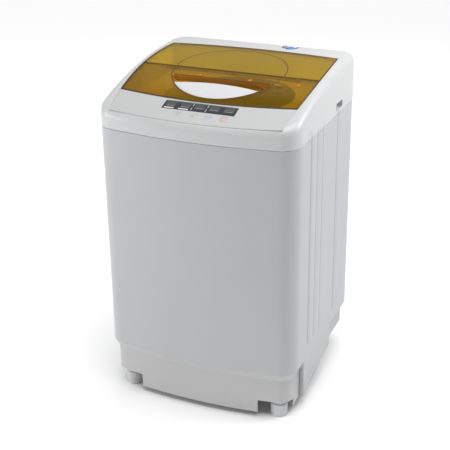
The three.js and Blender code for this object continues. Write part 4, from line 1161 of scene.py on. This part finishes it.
# ---- Suspension, tub and drum ------------------------------------------------------------
def suspension():
    """Four rods, and the coils on them that the tub's weight rests on."""
    rod = [(0, 246.0), (11.5, 246.0, 0.8), (11.5, 250.0, 0.8), (4, 250.0), (4, 659.3), (8.8, 659.3, 0.6)]
    rod += [(8.8, 664, 1.5), (0, 666.5)]
    turns, steps = 7, 28
    count = turns * steps
    for name in CORNERS:
        x, y = node_middle(f"suspension_rod_{name}")
        shape, node_name = turned(rod, x, y, 40), f"suspension_rod_{name}"
        build(f"Suspension_rod_{name}", *shape, "zinc_steel", "cabinet", [node_name])
        angles = [2 * math.pi * k / steps for k in range(count + 1)]
        path = [(*polar(9.4, a, x, y), 251.9 + 76.2 * k / count) for k, a in enumerate(angles)]
        shape, node_name = swept(path, 1.5, 8), f"suspension_spring_{name}"
        coil = build(f"Suspension_spring_{name}", *shape, "zinc_steel", "cabinet", [node_name])
        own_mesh(coil)


def tub():
    """The outer tub with its bands, the ears that hang on the rods, and the ribs under its floor."""
    shell = [(20, 204, 0), (196, 204, 6), (200, 212, 3), (200, 604), (197, 604), (197, 211, 5)]
    shell += [(20, 208), (20, 204)]
    parts = [turned(shell, segments=128)]
    for z in (300, 400, 500, 590):
        band = [(199.6, z - 2.5), (202.4, z - 2, 0), (202.4, z + 2, 0), (199.6, z + 2.5)]
        parts.append(turned(band, segments=128))
    ear = block(-34, 15, -13, 13, 330, 342, 2.0)
    parts += [spun(ear, math.atan2(y, x), x, y) for x in (-200.0, 200.0) for y in (-180.0, 180.0)]
    rib = block(96, 192, -1.5, 1.5, 198.5, 204.5, 0.5)
    parts += [spun(rib, a) for a in full_turn(12)]
    build("Tub_shell", *merged(*parts), "tub_plastic", "tub", ["outer_tub"], sharp=40)
    ring = [(163, 607.5, 0.8), (201.5, 604.2), (201.5, 611, 2.5), (190, 614, 2), (163, 612, 1.5)]
    ring.append((163, 607.5))
    build("Tub_ring", *turned(ring, segments=128), "tub_plastic", "tub", ["tub_ring"], sharp=40)


def perforated_wall(radius, z0, z1, columns, rows, hole):
    """A round wall with a round hole in each of its cells."""
    points, faces, index = [], [], {}

    def at(u, v):
        key = (round(u * 8) % (columns * 8), round(v * 8))
        if key not in index:
            a = 2 * math.pi * u / columns
            points.append((radius * math.cos(a), radius * math.sin(a), z0 + (z1 - z0) * v / rows))
            index[key] = len(points) - 1
        return index[key]

    arc, rise = 2 * math.pi * radius / columns, (z1 - z0) / rows
    around = ((0, 0), (0.5, 0), (1, 0), (1, 0.5), (1, 1), (0.5, 1), (0, 1), (0, 0.5))
    for i in range(columns):
        for j in range(rows):
            outer = [at(i + u, j + v) for u, v in around]
            if (i + j) % 2 or j in (0, rows - 1):
                faces.append(tuple(outer))
                continue
            inner = []
            for k in range(8):
                a = math.radians(225 + 45 * k)
                u, v = i + 0.5 + hole / arc * math.cos(a), j + 0.5 + hole / rise * math.sin(a)
                turn = 2 * math.pi * u / columns
                points.append((radius * math.cos(turn), radius * math.sin(turn), z0 + (z1 - z0) * v / rows))
                inner.append(len(points) - 1)
            faces += [(outer[k], outer[(k + 1) % 8], inner[(k + 1) % 8], inner[k]) for k in range(8)]
    return points, faces


def drum():
    """The perforated wall with its pressed beads, the floor, and the balance ring with its grip ribs."""
    wall = perforated_wall(181.9, 226.2, 569.7, 72, 22, 2.6)
    build("Drum_wall", *wall, "stainless", "drum", ["drum_wall"], sharp=50, thick=1.2)
    beads = []
    for z in (286, 332, 500, 546):
        section = ((180.6, -4), (179.2, -2.5), (178.6, 0), (179.2, 2.5), (180.6, 4))
        beads.append(turned([(radius, z + rise) for radius, rise in section], segments=128))
    build("Drum_beads", *merged(*beads), "stainless", "drum", sharp=60)
    floor = [(8, 218.3, 0), (178, 218.3, 4), (182, 224, 1), (182, 226), (176, 226, 1), (158, 224.5, 2)]
    floor += [(8, 224.5, 0), (8, 218.3)]
    build("Drum_base", *turned(floor), "tub_plastic", "drum", ["drum_base"], sharp=40)
    ring = [(152, 574, 3), (152, 597, 5), (160, 600, 3), (179, 600, 3), (183, 596, 3), (183, 570, 1)]
    ring += [(158, 570, 3), (152, 574)]
    rib = block(151.2, 153.5, -1.0, 1.0, 576, 594, 0.4)
    ribbed = merged(turned(ring, segments=128), *[spun(rib, a) for a in full_turn(36)])
    build("Drum_balance_ring", *ribbed, "tub_plastic", "drum", ["balance_ring"], sharp=40)


def pulsator():
    """A shallow dish with six swept fins and a domed hub, and the screw that holds it."""
    rows = ((8.0, 243.3), (8.0, 254.2), (9.0, 257.4), (14, 258.2), (20, 257.4), (25, 254), (31, 246))
    rows += ((40, 242.3), (60, 241.2), (80, 240.6), (100, 240.1), (118, 239.6), (132, 239.2), (142, 238.8))
    rows += ((147, 237), (149.5, 234), (149.5, 231.5), (147.5, 230), (143, 229.8), (8, 229.8))
    loops = []
    for radius, z in rows:
        ring = []
        for a in full_turn(180):
            lift = 0.0
            if 12 < radius < 146 and z > 236:
                crest = max(math.cos(6 * (a + 0.45 * radius / 150.0)), 0.0) ** 6
                lift = 13.0 * crest * ease((radius - 14) / 24.0) * ease((146 - radius) / 34.0)
            ring.append((*polar(radius, a), z + lift))
        loops.append(ring)
    loops.append(loops[0])
    build("Pulsator_dish", *rings(loops), "tub_plastic", "pulsator", ["pulsator"], sharp=45)
    screw = [(0, 254.3), (6.6, 254.3, 0.3), (6.9, 256.2, 0.6), (4.2, 257.8, 0.6), (0, 258)]
    build("Pulsator_screw", *turned(screw, segments=32), "stainless", "pulsator", ["pulsator_screw"])


def lint_filter():
    """A curved frame on the drum wall with a fine net in it."""
    turns, low, high = 12, 331, 449

    def arc(radius, degrees, z):
        return (*polar(radius, math.radians(degrees)), z)

    loops = []
    for z in steps_between(low, high, 40):
        places = steps_between(-turns, turns, 24)
        borders = [min(z - low, high - z, (turns - abs(t)) * 3.1) for t in places]
        loops.append([arc(178.0 - 9.5 * ease(border / 14.0), t, z) for t, border in zip(places, borders)])
    node_name, sheet = "lint_filter", rings(loops, closed=False)
    build("Lint_filter_frame", *sheet, "blue_plastic", node_name, [node_name], sharp=50, thick=1.4)
    uprights = [[arc(167.6, t, z) for z in steps_between(345, 435, 6)] for t in steps_between(-8, 8, 12)]
    crossings = [[arc(167.4, t, z) for t in steps_between(-8, 8, 6)] for z in steps_between(348, 432, 16)]
    net = merged(*[swept(path, 0.35, 6) for path in uprights + crossings])
    build("Lint_filter_net", *net, "white_plastic", "lint_filter")


# ---- Drive and water parts ---------------------------------------------------------------
def pulley(name, x, radius, groove, spokes):
    """A grooved pulley, with a hub and spokes or, if it has no spokes, with a solid middle."""
    z0, z1 = PULLEY_LOW, PULLEY_HIGH
    outer = [(groove - 5, z0 + 1), (radius, z0, 0.6), (radius, z0 + 2.6, 0.6), (groove, z0 + 4)]
    outer += [(groove, z1 - 4), (radius, z1 - 2.6, 0.6), (radius, z1, 0.6)]
    outer += [(groove - 5, z1 - 1), (groove - 5, z0 + 1)]
    parts = [turned(outer, x)]
    if spokes:
        parts.append(turned([(7.4, z0), (20, z0, 1), (20, z1, 1), (7.4, z1), (7.4, z0)], x, 0, 48))
        arm = block(18, groove - 3, -5, 5, 88.5, 95.5, 1.5)
        parts += [spun(arm, a, x) for a in full_turn(spokes)]
    else:
        hub = [(6.1, z0 + 1), (groove - 4, z0 + 1), (groove - 4, z1 - 1), (6.1, z1 - 1), (6.1, z0 + 1)]
        parts.append(turned(hub, x, 0, 48))
    build(name.capitalize(), *merged(*parts), "cast_aluminium", name, [name], sharp=40)


def belt():
    """The flat V belt round both pulleys."""
    big, small = 68.9, 16.9
    tangent = math.pi - math.acos((small - big) / MOTOR_X)
    path = [(0.0, big, a) for a in steps_between(-tangent, tangent, 60)]
    path += [(MOTOR_X, small, a) for a in steps_between(tangent, 2 * math.pi - tangent, 24)]
    section = ((0.0, 89.2), (4.2, 88.4), (4.2, 95.6), (0.0, 94.8))
    loops = [[(*polar(radius + out, a, cx), z) for out, z in section] for cx, radius, a in path]
    build("Drive_belt", *rings([*loops, loops[0]]), "rubber", "tub", ["drive_belt"], sharp=30)


def drive():
    """Both pulleys, their belt, and the motor with its cooling ribs and bolts."""
    pulley("drive_pulley", 0.0, 72.0, 68.4, 6)
    pulley("motor_pulley", MOTOR_X, 20.0, 16.4, 0)
    belt()
    can = [(0, 122), (30, 122, 3), (44, 126, 4), (50, 134, 2), (50, 186, 2), (44, 195, 4), (30, 199, 3)]
    can.append((0, 199))
    parts = [turned(can, MOTOR_X)]
    for z in range(140, 184, 6):
        parts.append(turned([(49.6, z - 1.4), (50, z - 1), (50, z + 1), (49.6, z + 1.4)], MOTOR_X, 0, 64))
    for k in range(4):
        bolt = [(0, 119.8), (3.2, 119.8, 0.5), (3.2, 123.5), (0, 123.5)]
        parts.append(turned(bolt, *polar(40, math.pi / 4 + k * math.pi / 2, MOTOR_X), 24))
    low = max(node_box("motor")[0][2], 82.0)
    parts.append(turned([(0, low), (5.8, low, 0.6), (5.8, 124), (0, 124)], MOTOR_X, 0, 32))
    build("Motor_housing", *merged(*parts), "dark_steel", "tub", ["motor"], sharp=35)


def hoses():
    """The drain valve, the hose from it to the outlet at the back, and the gland of the mains cord."""
    valve = [(0, 158), (19, 158, 2), (20, 164, 1), (20, 188, 1.5), (24, 194, 1), (24, 203.7, 0.5), (0, 203.7)]
    parts = [turned(valve, VALVE_X, VALVE_Y, 64)]
    for z in (168, 174, 180):
        parts.append(turned([(19.8, z - 1.2), (20.8, z), (19.8, z + 1.2)], VALVE_X, VALVE_Y, 48))
    elbow = [(10, 0), (13, 0), (13, 22), (15, 23, 0.6), (15, 27, 0.6), (13, 28), (13, 30), (10, 30), (10, 0)]
    parts.append(laid(turned(elbow, segments=40), "y", (VALVE_X, VALVE_Y + 5, 172)))
    build("Drain_valve_body", *merged(*parts), "white_plastic", "tub", ["drain_valve"], sharp=35)
    path = curve_through(DRAIN_PATH, 24)
    ends = [13.2] * 7
    radii = ends + [12.6 + 0.7 * math.cos(i * math.pi / 2) for i in range(7, len(path) - 7)] + ends
    tube = swept(path, radii, 24, (False, False))
    hose = build("Drain_hose", *tube, "rubber", None, ["drain_hose"], sharp=60)
    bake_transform(hose)
    clamp = turned([(12.9, 0), (14.4, 0.3), (14.4, 6.7), (12.9, 7)], segments=40)
    clamp = laid(clamp, "y", (-150, 196.0, 148))
    build("Drain_hose_clamp", *clamp, "zinc_steel", "cabinet")
    outlet = [(10, 0), (12.4, 0), (13, 1.2), (13, 6), (12.4, 7), (13, 9), (13, 18.5), (18, 18.7, 0.6)]
    outlet += [(18, 23.8, 0.6), (13, 24), (13, 26.5, 0.5), (12.6, 28), (10, 28), (10, 0)]
    outlet = laid(turned(outlet, segments=48), "y", (-150, 203.5, 148))
    build("Drain_outlet", *outlet, "grey_plastic", "cabinet", ["drain_outlet"], sharp=35)
    lo, hi = node_box("power_gland")
    radius, depth = (hi[0] - lo[0]) / 2, hi[1] - lo[1]
    plug = [(0, 0), (8.6, 0, 1), (9.2, 2), (9.2, 11.2), (radius, 11.4, 0), (radius, depth - 0.8, 1.2)]
    plug += [(5, depth), (4, depth - 2.5), (0, depth - 3)]
    plug = laid(turned(plug, segments=40), "y", ((lo[0] + hi[0]) / 2, lo[1], (lo[2] + hi[2]) / 2))
    build("Power_gland", *plug, "rubber", "cabinet", ["power_gland"], sharp=35)


def dress_cad_nodes():
    """CAD solids that stay as they are take the finish of their material slot."""
    for row in frame["record"]["subparts"]:
        solid = frame["nodes"][row["node"]]
        solid.data.materials.clear()
        solid.data.materials.append(MATERIALS[row["material_slot"]])


make_camera()
MATERIALS = make_materials()
make_stage()
dress_cad_nodes()
top_cover()
lid()
fascia()
display()
buttons()
cabinet()
base()
feet()
inlet()
suspension()
tub()
drum()
pulsator()
lint_filter()
drive()
hoses()
